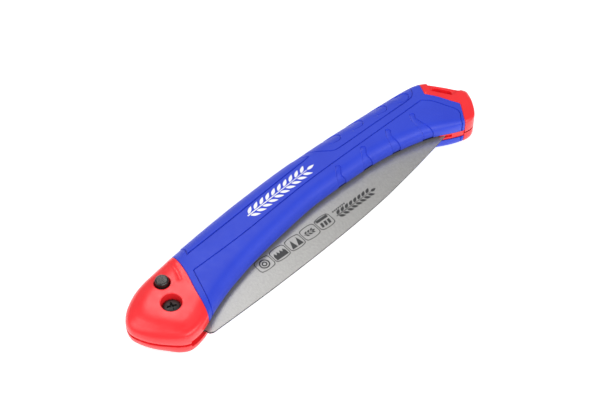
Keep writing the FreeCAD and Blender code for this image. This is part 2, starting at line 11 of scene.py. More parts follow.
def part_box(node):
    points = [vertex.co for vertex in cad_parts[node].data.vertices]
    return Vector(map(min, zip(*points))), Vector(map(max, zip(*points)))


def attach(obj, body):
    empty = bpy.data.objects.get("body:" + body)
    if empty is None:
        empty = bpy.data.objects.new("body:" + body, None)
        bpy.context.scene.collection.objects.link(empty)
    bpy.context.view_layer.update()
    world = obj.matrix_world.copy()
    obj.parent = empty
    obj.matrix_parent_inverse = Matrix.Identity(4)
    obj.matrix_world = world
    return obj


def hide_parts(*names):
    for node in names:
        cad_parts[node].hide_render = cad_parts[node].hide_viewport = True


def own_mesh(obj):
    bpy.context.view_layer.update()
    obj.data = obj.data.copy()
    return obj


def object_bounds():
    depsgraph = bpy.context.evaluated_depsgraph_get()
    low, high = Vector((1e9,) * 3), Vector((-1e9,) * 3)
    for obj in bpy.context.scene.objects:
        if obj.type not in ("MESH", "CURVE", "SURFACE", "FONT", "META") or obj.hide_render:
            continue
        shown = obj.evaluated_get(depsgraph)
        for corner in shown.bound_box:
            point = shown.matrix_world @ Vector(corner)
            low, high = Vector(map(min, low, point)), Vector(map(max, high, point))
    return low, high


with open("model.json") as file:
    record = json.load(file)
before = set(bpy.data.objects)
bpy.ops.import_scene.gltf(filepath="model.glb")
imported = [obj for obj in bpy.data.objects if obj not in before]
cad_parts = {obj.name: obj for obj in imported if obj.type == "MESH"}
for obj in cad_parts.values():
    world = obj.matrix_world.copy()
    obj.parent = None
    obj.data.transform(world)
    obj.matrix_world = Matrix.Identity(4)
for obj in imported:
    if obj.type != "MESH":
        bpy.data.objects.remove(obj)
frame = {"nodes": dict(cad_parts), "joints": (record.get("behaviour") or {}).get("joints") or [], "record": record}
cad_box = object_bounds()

# The handle is drawn in plan, in millimetres from the pivot axis: +X to the tail, +Y to the back of the
# handle. Heights are measured away from the plane where the two halves meet.
MM = 0.001
PIVOT = next(j for j in frame["joints"] if j["name"] == "blade_pivot")["pos_m"]
HALF_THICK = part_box("shell_upper")[1][2] / MM / 2


# ---------------------------------------------------------------- plan curves

def through(points, step, closed=False):
    """A smooth curve through given points, sampled about every step."""
    pts = np.asarray(points, float)
    count = len(pts)
    out = []
    for i in range(count if closed else count - 1):
        a, b = pts[i], pts[(i + 1) % count]
        before = pts[(i - 1) % count] if closed or i else a
        after = pts[(i + 2) % count] if closed or i + 2 < count else b
        gap = np.linalg.norm((b - a)[:2])
        gap_before = np.linalg.norm((a - before)[:2]) or gap
        gap_after = np.linalg.norm((after - b)[:2]) or gap
        slope_a = (b - before) / (gap + gap_before) * gap
        slope_b = (after - a) / (gap + gap_after) * gap
        steps = max(1, round(gap / step))
        u = np.arange(steps)[:, None] / steps
        out.append(a * (2 * u**3 - 3 * u**2 + 1) + slope_a * (u**3 - 2 * u**2 + u)
                   + b * (3 * u**2 - 2 * u**3) + slope_b * (u**3 - u**2))
    if not closed:
        out.append(pts[-1:])
    return np.vstack(out)


def straight(points, step, closed=False):
    """The points joined by straight runs, divided about every step."""
    pts = np.asarray(points, float)
    ends = np.vstack([pts, pts[:1]]) if closed else pts
    out = []
    for a, b in zip(ends, ends[1:]):
        steps = max(1, math.ceil(np.linalg.norm(b - a) / step))
        out.append(a + (b - a) * np.arange(steps)[:, None] / steps)
    if not closed:
        out.append(ends[-1:])
    return np.vstack(out)


def ring(centre, radius, step=0.6):
    """Points round a circle."""
    angle = np.linspace(0, 2 * math.pi, max(24, round(2 * math.pi * radius / step)), endpoint=False)
    return np.asarray(centre) + radius * np.column_stack([np.cos(angle), np.sin(angle)])


def arc(centre, radius, first, last, step=0.6):
    """Points along part of a circle, between two angles in radians."""
    angle = np.linspace(first, last, max(3, round(abs(last - first) * radius / step)))
    return np.asarray(centre) + radius * np.column_stack([np.cos(angle), np.sin(angle)])


def path_distance(xy, path, closed=False):
    """Distance from each point to a path."""
    ends = np.vstack([path, path[:1]]) if closed else path
    best = np.full(len(xy), 1e18)
    for a, b in zip(ends, ends[1:]):
        ab = b - a
        length = ab @ ab
        u = np.clip(((xy - a) @ ab) / length, 0, 1) if length else np.zeros(len(xy))
        off = xy - a - u[:, None] * ab
        best = np.minimum(best, (off**2).sum(1))
    return np.sqrt(best)


def inside(xy, polygon):
    """True for the points within a closed polygon."""
    hit = np.zeros(len(xy), bool)
    x, y = xy[:, 0], xy[:, 1]
    for (ax, ay), (bx, by) in zip(polygon, np.roll(polygon, -1, axis=0)):
        if ay != by:
            hit ^= ((ay > y) != (by > y)) & (x < (bx - ax) * (y - ay) / (by - ay) + ax)
    return hit


def depth_inside(xy, polygon):
    """Distance inside a closed polygon, negative outside it."""
    return np.where(inside(xy, polygon), 1, -1) * path_distance(xy, polygon, True)


def near(xy, centre, radius):
    """True for the points within a circle."""
    return np.hypot(xy[:, 0] - centre[0], xy[:, 1] - centre[1]) < radius


def beside(path, offset, closed=False):
    """A path moved to its right by the offset."""
    if closed:
        along = np.roll(path, -1, axis=0) - np.roll(path, 1, axis=0)
    else:
        along = np.gradient(path, axis=0)
    along /= np.maximum(np.linalg.norm(along, axis=1), 1e-9)[:, None]
    return path + np.column_stack([along[:, 1], -along[:, 0]]) * offset


def smooth_step(values, first, last):
    """0 below first, 1 above last, and an easy rise between them."""
    u = np.clip((values - first) / (last - first), 0, 1)
    return u * u * (3 - 2 * u)


# ---------------------------------------------------------------- solids drawn over a plan

def triangulate(rows, loose=None):
    """Triangles whose edges follow every row. A row is a path and whether it is closed."""
    points = []
    edges = []
    for path, closed in rows:
        start = len(points)
        count = len(path)
        points += [tuple(p) for p in path]
        edges += [(start + i, start + (i + 1) % count) for i in range(count if closed else count - 1)]
    if loose is not None:
        points += [tuple(p) for p in loose]
    made, _, found, *_ = delaunay_2d_cdt([Vector(p) for p in points], edges, [], 0, 1e-4)
    flat = np.array([tuple(v) for v in made])
    corners = np.array([f for f in found if len(f) == 3])
    a, b, c = (flat[corners[:, k]] for k in range(3))
    area = (b[:, 0] - a[:, 0]) * (c[:, 1] - a[:, 1]) - (b[:, 1] - a[:, 1]) * (c[:, 0] - a[:, 0])
    corners[area < 0] = corners[area < 0][:, ::-1]
    corners = corners[np.abs(area) > 1e-7]
    return flat, corners, flat[corners].mean(1)


def filler(rows, wanted, spacing, clear):
    """A staggered grid of points where wanted says so, clear of every row."""
    crowd = np.vstack([path for path, _ in rows])
    low, high = crowd.min(0), crowd.max(0)
    ys = np.arange(low[1], high[1], spacing * 0.87)
    grid = np.array([(x + (k % 2) * spacing / 2, y) for k, y in enumerate(ys)
                     for x in np.arange(low[0], high[0], spacing)])
    grid = grid[wanted(grid)]
    free = np.ones(len(grid), bool)
    for first in range(0, len(grid), 500):
        part = grid[first:first + 500]
        free[first:first + 500] = ((part[:, None] - crowd[None])**2).sum(2).min(1) > clear**2
    return grid[free]


def closed_solid(corners, top_kind, tops, low_kind, lows, on_edge=None, rows=None):
    """A closed mesh over some plan triangles. Each triangle has a kind of top and a kind of underside,
    and tops and lows give each plan point's place for every kind. Where neighbours differ a wall joins
    them, and where a triangle has no neighbour a wall closes the side. Walls pass through every corner
    between their ends, and on the outer edge through the rows of places kept for each kind of underside,
    so that no edge is left open."""
    vertices = []
    faces = []
    number = {}

    def index(key, place):
        if key not in number:
            number[key] = len(vertices)
            vertices.append(tuple(place))
        return number[key]

    def top(v, kind):
        return index(("top", kind, v), tops[kind][v])

    def low(v, kind):
        return index(("low", kind, v), lows[kind][v])

    def side(v, kind):
        if rows is None or not on_edge[v]:
            return []
        return [index(("row", kind, step, v), row[v]) for step, row in enumerate(rows[kind])]

    def upright(v, first, last):
        """The corners at a plan point from one to another, through every corner between them."""
        ends = vertices[first][2], vertices[last][2]
        middle = [k for k in stack[v] if min(ends) < vertices[k][2] < max(ends)]
        middle.sort(key=lambda k: vertices[k][2], reverse=bool(ends[0] > ends[1]))
        return [first] + middle + [last]

    def step_path(v, first, last):
        """From one underside to another at a plan point, round the outer edge where it lies there."""
        if rows is None or not on_edge[v]:
            return upright(v, low(v, first), low(v, last))
        peak = ("top", 0, v)
        over = [number[peak]] if peak in number else []
        return [low(v, first)] + side(v, first)[::-1] + over + side(v, last) + [low(v, last)]

    neighbour = {}
    for t, (a, b, c) in enumerate(corners):
        for u, v in ((a, b), (b, c), (c, a)):
            neighbour[(u, v)] = t
    for t, (a, b, c) in enumerate(corners):
        kind, under = top_kind[t], low_kind[t]
        faces.append((top(a, kind), top(b, kind), top(c, kind)))
        faces.append((low(c, under), low(b, under), low(a, under)))
    stack = {}
    for (_, _, v), k in number.items():
        stack.setdefault(v, []).append(k)
    for t, (a, b, c) in enumerate(corners):
        kind, under = top_kind[t], low_kind[t]
        for u, v in ((a, b), (b, c), (c, a)):
            other = neighbour.get((v, u))
            if other is None:
                first, last = ([top(p, kind)] + side(p, under) + [low(p, under)] if side(p, under)
                               else upright(p, top(p, kind), low(p, under)) for p in (u, v))
                if len(first) == len(last):
                    for k in range(len(first) - 1):
                        faces.append((first[k], first[k + 1], last[k + 1], last[k]))
                else:
                    faces.append(tuple(first + last[::-1]))
            elif other > t:
                if top_kind[other] != kind:
                    beyond = top_kind[other]
                    faces.append(tuple(upright(u, top(u, kind), top(u, beyond))
                                       + upright(v, top(v, beyond), top(v, kind))))
                if low_kind[other] != under:
                    beyond = low_kind[other]
                    faces.append(tuple(step_path(u, under, beyond) + step_path(v, beyond, under)))
    return vertices, faces


def make_object(name, vertices, faces, material, sharp=35):
    """A mesh object from places in millimetres about the pivot, with outward faces."""
    mesh = bpy.data.meshes.new(name)
    scaled = np.asarray(vertices, float) * MM
    scaled[:, :2] += np.array(PIVOT[:2])
    mesh.from_pydata(scaled.tolist(), [], faces)
    work = bmesh.new()
    work.from_mesh(mesh)
    bmesh.ops.recalc_face_normals(work, faces=work.faces)
    work.to_mesh(mesh)
    work.free()
    mesh.materials.append(material)
    for polygon in mesh.polygons:
        polygon.use_smooth = True
    mesh.set_sharp_from_angle(angle=math.radians(sharp))
    piece = bpy.data.objects.new(name, mesh)
    bpy.context.scene.collection.objects.link(piece)
    return piece


def keep(piece, body, slot, *nodes):
    """Attaches a piece to the body it moves with and hides the CAD nodes it stands for. The slot is not used."""
    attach(piece, body)
    if nodes:
        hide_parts(*nodes)


# ---------------------------------------------------------------- materials

class Shader:
    """A material and short ways to add nodes to it."""

    def __init__(self, name, colour, rough, metallic=0.0):
        self.material = bpy.data.materials.new(name)
        self.material.use_nodes = True
        self.material.diffuse_color = (*colour, 1)
        self.tree = self.material.node_tree
        self.surface = self.tree.nodes["Principled BSDF"]
        self.surface.inputs["Base Color"].default_value = (*colour, 1)
        self.surface.inputs["Roughness"].default_value = rough
        self.surface.inputs["Metallic"].default_value = metallic
        self.place = self.add("ShaderNodeTexCoord").outputs["Object"]

    def add(self, kind, **settings):
        node = self.tree.nodes.new(kind)
        for key, setting in settings.items():
            setattr(node, key, setting)
        return node

    def link(self, output, target):
        self.tree.links.new(output, target)

    def stretched(self, scale):
        """Object coordinates scaled along each axis, per metre."""
        mapping = self.add("ShaderNodeMapping")
        self.link(self.place, mapping.inputs["Vector"])
        mapping.inputs["Scale"].default_value = scale
        return mapping.outputs["Vector"]

    def noise(self, scale, detail=3.0, rough=0.55):
        """Noise between 0 and 1. The scale is per metre, one number or three."""
        node = self.add("ShaderNodeTexNoise")
        if isinstance(scale, tuple):
            self.link(self.stretched(scale), node.inputs["Vector"])
            node.inputs["Scale"].default_value = 1.0
        else:
            self.link(self.place, node.inputs["Vector"])
            node.inputs["Scale"].default_value = scale
        node.inputs["Detail"].default_value = detail
        node.inputs["Roughness"].default_value = rough
        return node.outputs["Fac"]

    def spread(self, value, low, high, at_low=0.3, at_high=0.7):
        """A noise value mapped to run from low to high."""
        node = self.add("ShaderNodeMapRange")
        self.link(value, node.inputs["Value"])
        node.inputs["From Min"].default_value = at_low
        node.inputs["From Max"].default_value = at_high
        node.inputs["To Min"].default_value = low
        node.inputs["To Max"].default_value = high
        return node.outputs["Result"]

    def tint(self, value, first, last):
        """A colour between two, chosen by a value from 0 to 1."""
        node = self.add("ShaderNodeMix", data_type="RGBA")
        self.link(value, node.inputs["Factor"])
        node.inputs["A"].default_value = (*first, 1)
        node.inputs["B"].default_value = (*last, 1)
        return node.outputs["Result"]

    def bump(self, heights):
        """Bumps laid one on another. Each is a height value, its depth in metres and a strength."""
        before = None
        for value, depth, strength in heights:
            node = self.add("ShaderNodeBump")
            node.inputs["Strength"].default_value = strength
            node.inputs["Distance"].default_value = depth
            self.link(value, node.inputs["Height"])
            if before is not None:
                self.link(before, node.inputs["Normal"])
            before = node.outputs["Normal"]
        self.link(before, self.surface.inputs["Normal"])

    def colour(self, output):
        self.link(output, self.surface.inputs["Base Color"])

    def rough(self, output):
        self.link(output, self.surface.inputs["Roughness"])


def linear(red, green, blue):
    """A colour given as it looks on a screen, 0 to 255, as linear light."""
    return tuple((c / 255 / 12.92) if c <= 10 else ((c / 255 + 0.055) / 1.055)**2.4
                 for c in (red, green, blue))


def moulded_plastic(name, colour, deep, rough, grain):
    """Injection-moulded plastic: a faint cloudiness in the colour, spark-eroded grain and a few specks."""
    m = Shader(name, colour, rough)
    cloud = m.noise(55, 4.0)
    speck = m.noise(900, 1.0, 0.4)
    m.colour(m.tint(m.spread(cloud, 0.0, 1.0, 0.25, 0.75), deep, colour))
    m.rough(m.spread(m.noise(230, 3.0), rough - 0.04, rough + 0.05))
    m.bump([(m.noise(2600, 2.0), 0.00003, grain), (speck, 0.00002, grain * 0.4)])
    return m


def red_plastic():
    m = moulded_plastic("red_plastic", linear(247, 42, 48), linear(241, 34, 42), 0.33, 0.10)
    m.surface.inputs["Coat Weight"].default_value = 0.1
    m.surface.inputs["Coat Roughness"].default_value = 0.25
    return m.material


def blue_rubber():
    m = moulded_plastic("blue_rubber", linear(36, 65, 206), linear(30, 58, 199), 0.46, 0.2)
    m.surface.inputs["Specular IOR Level"].default_value = 0.42
    m.surface.inputs["Sheen Weight"].default_value = 0.28
    m.surface.inputs["Sheen Roughness"].default_value = 0.45
    m.surface.inputs["Sheen Tint"].default_value = (0.75, 0.75, 1.0, 1)
    return m.material


def ground_steel():
    """Surface-ground blade steel: close lines across the blade and a dull mottling, with painted shade on the
    edges: faces that stand near upright are painted near black for the dark they reflect.
    """
    m = Shader("ground_steel", linear(164, 163, 161), 0.36, 0.6)
    lines = m.noise((3800, 500, 400), 3.0, 0.6)
    mottle = m.noise((1500, 800, 800), 5.0, 0.7)
    speck = m.noise(2400, 2.0, 0.5)
    blended = m.add("ShaderNodeMath", operation="MULTIPLY_ADD")
    m.link(lines, blended.inputs[0])
    blended.inputs[1].default_value = 0.5
    m.link(m.spread(mottle, 0.0, 0.5, 0.2, 0.8), blended.inputs[2])
    face = m.tint(m.spread(blended.outputs["Value"], 0.0, 1.0, 0.3, 0.7),
                  linear(154, 153, 151), linear(177, 176, 173))
    # Painted shade: faces near upright (the blade's edges) get a near-black colour in place of the steel's own
    # colour, standing for the dark that these sides reflect.
    upright = m.add("ShaderNodeSeparateXYZ")
    m.link(m.add("ShaderNodeTexCoord").outputs["Normal"], upright.inputs["Vector"])
    flatness = m.add("ShaderNodeMath", operation="ABSOLUTE")
    m.link(upright.outputs["Z"], flatness.inputs[0])
    painted_side_shade = m.add("ShaderNodeMix", data_type="RGBA")
    m.link(m.spread(flatness.outputs["Value"], 0.0, 1.0, 0.3, 0.5), painted_side_shade.inputs["Factor"])
    painted_side_shade.inputs["A"].default_value = (*linear(46, 46, 48), 1)
    m.link(face, painted_side_shade.inputs["B"])
    m.colour(painted_side_shade.outputs["Result"])
    m.rough(m.spread(mottle, 0.33, 0.42))
    m.bump([(lines, 0.00002, 0.25), (speck, 0.000015, 0.2)])
    return m.material


def dark_steel(name, colour, rough):
    """Black-oxide steel: nearly black, with a browner bloom and rubbed spots."""
    m = Shader(name, linear(*colour), rough, 0.55)
    bloom = m.noise(420, 4.0, 0.6)
    m.colour(m.tint(m.spread(bloom, 0.0, 1.0, 0.35, 0.7), linear(*colour),
                    linear(*[min(255, c + 22) for c in colour])))
    m.rough(m.spread(m.noise(1300, 3.0), rough - 0.06, rough + 0.1))
    m.bump([(m.noise(3000, 3.0), 0.00002, 0.25)])
    return m.material


def bright_steel(name, colour, rough):
    """Turned or stamped steel with a light zinc bloom."""
    m = Shader(name, linear(*colour), rough, 0.9)
    m.rough(m.spread(m.noise(700, 4.0), rough - 0.05, rough + 0.12))
    m.colour(m.tint(m.noise(300, 3.0), linear(*[c - 18 for c in colour]), linear(*colour)))
    m.bump([(m.noise(2500, 2.0), 0.00002, 0.2)])
    return m.material


def printed(name, colour, rough):
    """Pad-printed ink, very slightly uneven."""
    m = Shader(name, linear(*colour), rough)
    m.colour(m.tint(m.noise(600, 3.0), linear(*[max(0, c - 9) for c in colour]), linear(*colour)))
    m.bump([(m.noise(2200, 2.0), 0.00001, 0.2)])
    return m.material


def white_floor():
    m = Shader("studio_floor", (0.8, 0.8, 0.8), 0.9)
    m.colour(m.tint(m.noise(6, 2.0), (0.79, 0.79, 0.79), (0.81, 0.81, 0.81)))
    m.surface.inputs["Emission Color"].default_value = (1, 1, 1, 1)
    m.surface.inputs["Emission Strength"].default_value = 0.6
    return m.material


# ---------------------------------------------------------------- the handle's design

# Widest outline, anticlockwise, and the radius that the long edges are rounded to there.
OUTLINE = through([
    (10.0, -17.4, 4.4), (18.0, -13.6, 6), (32.0, -8.4, 7), (54.0, -2.6, 7), (77.0, 1.6, 7),
    (100.0, 4.8, 7), (122.0, 5.6, 7), (146.0, 5.4, 7), (165.0, 3.0, 6.6), (182.0, -1.2, 5.6),
    (195.0, -7.0, 4.0), (200.8, -9.1, 2.8), (205.6, -9.3, 2.4), (208.9, -7.5, 2.2), (214.2, -0.4, 2.2),
    (217.3, 5.2, 3.6), (218.5, 8.4, 4.6), (217.4, 10.6, 4.4), (215.2, 12.9, 3.4), (211.1, 19.0, 3.0),
    (205.7, 26.3, 3.0), (204.2, 27.9, 3.2), (200.8, 30.3, 4), (194.6, 32.5, 5.4), (178.0, 33.9, 6.5),
    (150.0, 34.7, 7),
    (122.0, 34.8, 7), (95.0, 33.9, 7), (60.0, 31.0, 7), (30.0, 27.3, 7), (8.0, 24.1, 7.5),
    (-6.0, 21.1, 7.5), (-16.4, 15.9, 8), (-22.2, 9.9, 8), (-24.0, 4.2, 8), (-22.6, -1.4, 8),
    (-19.2, -7.6, 8), (-13.8, -14.0, 7.5), (-8.8, -18.7, 6), (-4.6, -20.8, 4.6), (0.0, -20.7, 4.2),
    (5.5, -19.3, 4.2)], 0.9, closed=True)
EDGE = OUTLINE[:, :2]
ON_EDGE = 0.02
LOWER_TAIL_RADIUS = 5.6
LOWER_HEAD_RADIUS = 6.8
HEAD_END = 20.0
HEAD_MELT = 4.4
MELT_OWN = 2
MELT_ROUND = 10


def edge_radii(side):
    """Rounding at each outline point. The lower half is rounded more at both ends."""
    radii = OUTLINE[:, 2].copy()
    if side == "lower":
        tail = smooth_step(EDGE[:, 0], 186, 200)
        head = smooth_step(-EDGE[:, 0], -26, -8) * smooth_step(-EDGE[:, 1], 4, 10)
        radii += tail * np.maximum(LOWER_TAIL_RADIUS - radii, 0)
        radii += head * np.maximum(LOWER_HEAD_RADIUS - radii, 0)
    return radii


# Where the soft grip meets the hard head and tail.
HEAD_LINE = through([(5.0, -28.0), (10.4, -16.9), (14.4, -1.0), (17.2, 8.8), (18.5, 15.5), (19.2, 22.8),
                     (20.2, 40.0)], 0.8)
TAIL_LINE = np.vstack([straight([(204.0, 42.0), (200.6, 28.5), (197.2, 21.0)], 0.8)[:-1],
                       through([(197.2, 21.0), (201.1, 15.3), (204.3, 8.6), (205.0, 7.0)], 0.8)[:-1],
                       straight([(205.0, 7.0), (207.2, 3.0), (206.8, 1.8), (201.6, -6.0), (198.6, -12.0),
                                 (196.0, -24.0)], 0.8)])
GRIP_PLAN = np.vstack([HEAD_LINE, TAIL_LINE])

# The blade's slot, the narrower gap that the tang swings in, and the rib that ends the slot.
SLOT_PLAN = np.array([(-4.0, -40.0), (193.6, -40.0), (193.6, 2.0), (186.0, 12.0), (14.0, 12.0),
                      (14.0, -9.0), (-4.0, -14.0)])
GAP_PLAN = np.array([(-40.0, -40.0), (14.0, -40.0), (14.0, 18.2), (1.5, 18.2), (1.5, 40.0), (-40.0, 40.0)])
RIB_PLAN = np.array([(187.0, -30.0), (230.0, -30.0), (230.0, 1.0), (193.6, 1.0), (193.6, 2.0),
                     (187.0, 10.7)])
SLOT_SKIN_PLAN = np.array([(-4.0, -40.0), (184.0, -40.0), (184.0, 40.0), (-4.0, 40.0)])
SLOT_LEVEL = 2.25
GAP_LEVEL = 1.0
CORE_LEVEL = 8.05
CORE_SKIN = 1.5
CORE_INSET = 2.2
SLOT_SKIN = 5.5
RIB_INSET = 0.5
TAIL_GAP_LEVEL = 0.3
LIP_LEVEL = 0.8
LIP_INSET = 1.4
PARTING_RADIUS = 0.4
LIP_RADIUS = 0.2

# Fine lines pressed into the grip: the sliver on the shoulder, the palm panel and the back pad.
SHOULDER_LINE = straight([(25.6, 29.0), (26.6, 22.6), (25.2, 19.4), (56.3, 22.3), (84.0, 25.4),
                          (112.4, 28.2), (117.2, 29.0), (114.5, 31.4), (104.0, 35.5)], 0.9)
PALM_RIDGE = [(21.0, 8.7), (53.3, 10.4), (98.7, 14.9), (128.9, 16.5), (192.1, 18.7)]
PALM_LINE = np.vstack([straight([(11.6, -21.0), (14.4, -14.0), (21.0, 8.7)], 0.9)[:-1],
                       through(PALM_RIDGE, 0.9)[:-1],
                       through([(192.1, 18.7), (196.2, 14.6), (200.2, 6.0), (202.4, 0.4), (202.0, -2.4),
                                (199.4, -6.0), (197.2, -12.0)], 0.9)])
PAD_LINE = np.vstack([straight([(117.0, 36.0), (119.4, 31.9), (128.0, 24.4)], 0.9)[:-1],
                      through([(128.0, 24.4), (130.4, 22.9), (134.3, 22.5), (159.3, 23.1), (175.0, 23.4),
                               (189.0, 24.0), (192.0, 25.6), (194.6, 29.4), (196.6, 36.0)], 0.9)])
LINE_DEPTH = 0.8
LINE_HALF = 0.38
LINE_SHOULDER = 0.18
SEAM_DEPTH = 0.4
SEAM_HALF = 0.32
SHOULDER_PANEL = np.vstack([SHOULDER_LINE, [(60.0, 45.0), (25.6, 45.0)]])
SHOULDER_RISE = 0.28
DENT_LINE = through([(15.4, 20.6), (14.9, 17.2), (13.9, 12.8), (12.4, 8.6)], 0.7)
DENT_DEPTH = 0.34
DENT_HALF = 1.5
PAST_EDGE = (0.4, -8.0)


def finger_groove(tip, left, right, edge_left, edge_right):
    """A rounded slot on the flat that flares as it runs over the hollow edge of the handle."""
    half = np.linalg.norm(right - left) / 2
    back = tip - (left + right) / 2
    back /= np.linalg.norm(back)
    heading = math.atan2(back[1], back[0])
    cap = arc(tip - back * half, half, heading + math.pi / 2, heading - math.pi / 2)
    past_edge = np.array(PAST_EDGE)
    right_side = through([cap[-1], right, edge_right, edge_right + past_edge], 0.8)
    left_side = through([edge_left + past_edge, edge_left, left, cap[0]], 0.8)
    return np.vstack([cap[:-1], right_side, left_side[:-1]])


# Each slot's tip, its left and right corners, and where its left and right sides meet the handle's edge.
FINGER_PLACES = (
    ((124.5, 13.4), (119.4, 8.6), (122.6, 7.9), (118.4, 5.4), (124.0, 5.4)),
    ((144.0, 14.7), (139.0, 9.7), (142.3, 9.0), (137.0, 5.4), (143.5, 5.4)),
    ((162.8, 15.0), (158.3, 10.4), (161.4, 9.7), (157.4, 4.4), (162.6, 3.4)),
    ((181.1, 14.9), (177.2, 10.5), (180.4, 10.3), (176.8, 0.4), (182.9, -1.5)),
)
FINGER_GROOVES = [finger_groove(*np.array(places, float)) for places in FINGER_PLACES]
FINGER_DEPTH = 0.45
FINGER_WALL = 0.3
FINGER_RIM = 0.4
THUMB_ENDS = ((137.4, 30.2), (154.0, 30.0), (171.6, 29.4), (187.0, 27.8))
THUMB_LONG = 9.0
THUMB_DEPTH = 0.45
THUMB_WALL = 0.3
THUMB_RIM = 0.6
THUMB_HALF = 3.4
THUMB_HEADING = math.radians(-8)
RIM_SHIFT = 0.15


def thumb_groove(end):
    """A shallow scoop near the pad's back edge, with a round end."""
    heading = THUMB_HEADING
    run = np.array([math.cos(heading), math.sin(heading)])
    across = np.array([-run[1], run[0]]) * THUMB_HALF
    start = np.array(end) - run * THUMB_LONG
    cap = arc(end, THUMB_HALF, heading + math.pi / 2, heading - math.pi / 2)
    return straight(np.vstack([[start + across], cap, [start - across]]), 0.8, closed=True)


THUMB_GROOVES = [thumb_groove(end) for end in THUMB_ENDS]

# Lanyard slot in the tail: its own drawing is turned and moved there.
LANYARD = np.array([207.1, 17.0])
LANYARD_TILT = math.radians(-57)
LANYARD_FLAT = 3.75
LANYARD_RADIUS = 2.1
TRAY_LEVEL = HALF_THICK - 2.6
TRAY_WALL = 0.4
TRAY_RIM = 1.0


def turned(points):
    """Points of the lanyard slot's drawing in the handle's plan."""
    c, s = math.cos(LANYARD_TILT), math.sin(LANYARD_TILT)
    return np.array([(LANYARD[0] + u * c - v * s, LANYARD[1] + u * s + v * c) for u, v in points])


LANYARD_HOLE = straight(turned(np.vstack([
    arc((LANYARD_FLAT, 0), LANYARD_RADIUS, -math.pi / 2, math.pi / 2),
    arc((-LANYARD_FLAT, 0), LANYARD_RADIUS, math.pi / 2, 1.5 * math.pi)])), 0.8, closed=True)
TRAY = straight(turned([(-6.3, -2.4), (6.3, -2.4), (12.7, 9.0), (-12.6, 9.0)]), 0.8, closed=True)

BUTTON = (4.1, 13.0)
SCREWS = [(27.0, 19.5), (69.0, 22.0), (111.0, 23.4), (153.0, 23.5), (193.0, 22.5), (202.5, 4.0)]
RIM_RADIUS = 0.35
HOLE_RIM = 0.3

# Round features of each half: sunk from outside to a floor, sunk from the meeting face to a ceiling, and
# right through. Each is a centre, a radius and, where it has one, the height of its floor or ceiling.
SUNK = {"upper": [((0, 0), 5.45, 4.35), (BUTTON, 4.3, 5.25)],
        "lower": [((0, 0), 5.45, 3.75)] + [(place, 3.2, 7.15) for place in SCREWS]}
HOLLOW = {"upper": [((0, 0), 4.02, 2.25)] + [(place, 1.52, 4.9) for place in SCREWS],
          "lower": [((0, 0), 4.02, 2.25), (BUTTON, 4.9, 8.45)]}
THROUGH = {"upper": [((0, 0), 2.55), (BUTTON, 3.68)],
           "lower": [((0, 0), 2.55)] + [(place, 1.55) for place in SCREWS]}


def edge_place(xy, side):
    """For each plan point: distance in from the outline, the outward direction and the rounding there."""
    best = np.full(len(xy), 1e18)
    radius = np.zeros(len(xy))
    foot = np.zeros((len(xy), 2))
    radii = edge_radii(side)
    ends = zip(EDGE, np.roll(EDGE, -1, axis=0), radii, np.roll(radii, -1))
    for a, b, radius_a, radius_b in ends:
        ab = b - a
        u = np.clip(((xy - a) @ ab) / (ab @ ab), 0, 1)
        at = a + u[:, None] * ab
        gap = ((xy - at)**2).sum(1)
        closer = gap < best
        best[closer] = gap[closer]
        foot[closer] = at[closer]
        radius[closer] = (radius_a + (radius_b - radius_a) * u)[closer]
    distance = np.sqrt(best)
    out = foot - xy
    touching = distance < ON_EDGE
    out[~touching] /= distance[~touching, None]
    if touching.any():
        nearest = ((xy[touching][:, None] - EDGE[None])**2).sum(2).argmin(1)
        along = np.roll(EDGE, -1, axis=0)[nearest] - np.roll(EDGE, 1, axis=0)[nearest]
        along /= np.linalg.norm(along, axis=1)[:, None]
        out[touching] = np.column_stack([along[:, 1], -along[:, 0]])
    return distance, out, radius


def round_over(distance, radius, top):
    """Height of a surface that rises from the outline to top in a quarter circle, with the two parts of
    its outward direction: towards the outline and upwards."""
    lean = np.clip((radius - distance) / radius, 0, 1)
    rise = np.sqrt(1 - lean**2)
    return top - radius + radius * rise, lean, rise


CROWN_DROP = 0.9
CROWN_REACH = 13.0
BEHIND_SLOPE = 0.055
BEHIND_REACH = 20
NOSE_DROP = 1.1
NOSE_START = -4
NOSE_LONG = 16


def broad_form(xy, distance, rise):
    """How far the broad face falls below dead level: a soft crown, the slope behind the palm panel, and
    the head's nose."""
    crown = CROWN_DROP * (1 - np.clip(distance / CROWN_REACH, 0, 1))**2
    ridge = np.interp(xy[:, 0], *zip(*PALM_RIDGE))
    behind = np.clip(xy[:, 1] - ridge, 0, BEHIND_REACH)
    behind *= smooth_step(xy[:, 0], 18, 24) * (1 - smooth_step(xy[:, 0], 193, 199))
    nose = NOSE_DROP * np.clip((NOSE_START - xy[:, 0]) / NOSE_LONG, 0, 1)**2
    return (crown + behind * BEHIND_SLOPE + nose) * rise**2


def plain_height(xy, side):
    """Height of a half with no tray, lines or grooves."""
    distance, _, radius = edge_place(xy, side)
    high, _, rise = round_over(distance, radius, HALF_THICK)
    return high - broad_form(xy, distance, rise)


def softened(xy, high, distance, side):
    """Heights with the head's corners melted together, as a mean over a circle round each point."""
    head = (xy[:, 0] < HEAD_END) & (distance > 0.1)
    near_by = np.minimum(distance[head] * 0.85, HEAD_MELT)
    near_by *= 1 - smooth_step(xy[head, 0], HEAD_END - 8, HEAD_END)
    total = high[head] * MELT_OWN
    for angle in np.linspace(0, 2 * math.pi, MELT_ROUND, endpoint=False):
        step = np.column_stack([near_by * math.cos(angle), near_by * math.sin(angle)])
        total += plain_height(xy[head] + step, side)
    melted = high.copy()
    melted[head] = total / (MELT_OWN + MELT_ROUND)
    return melted


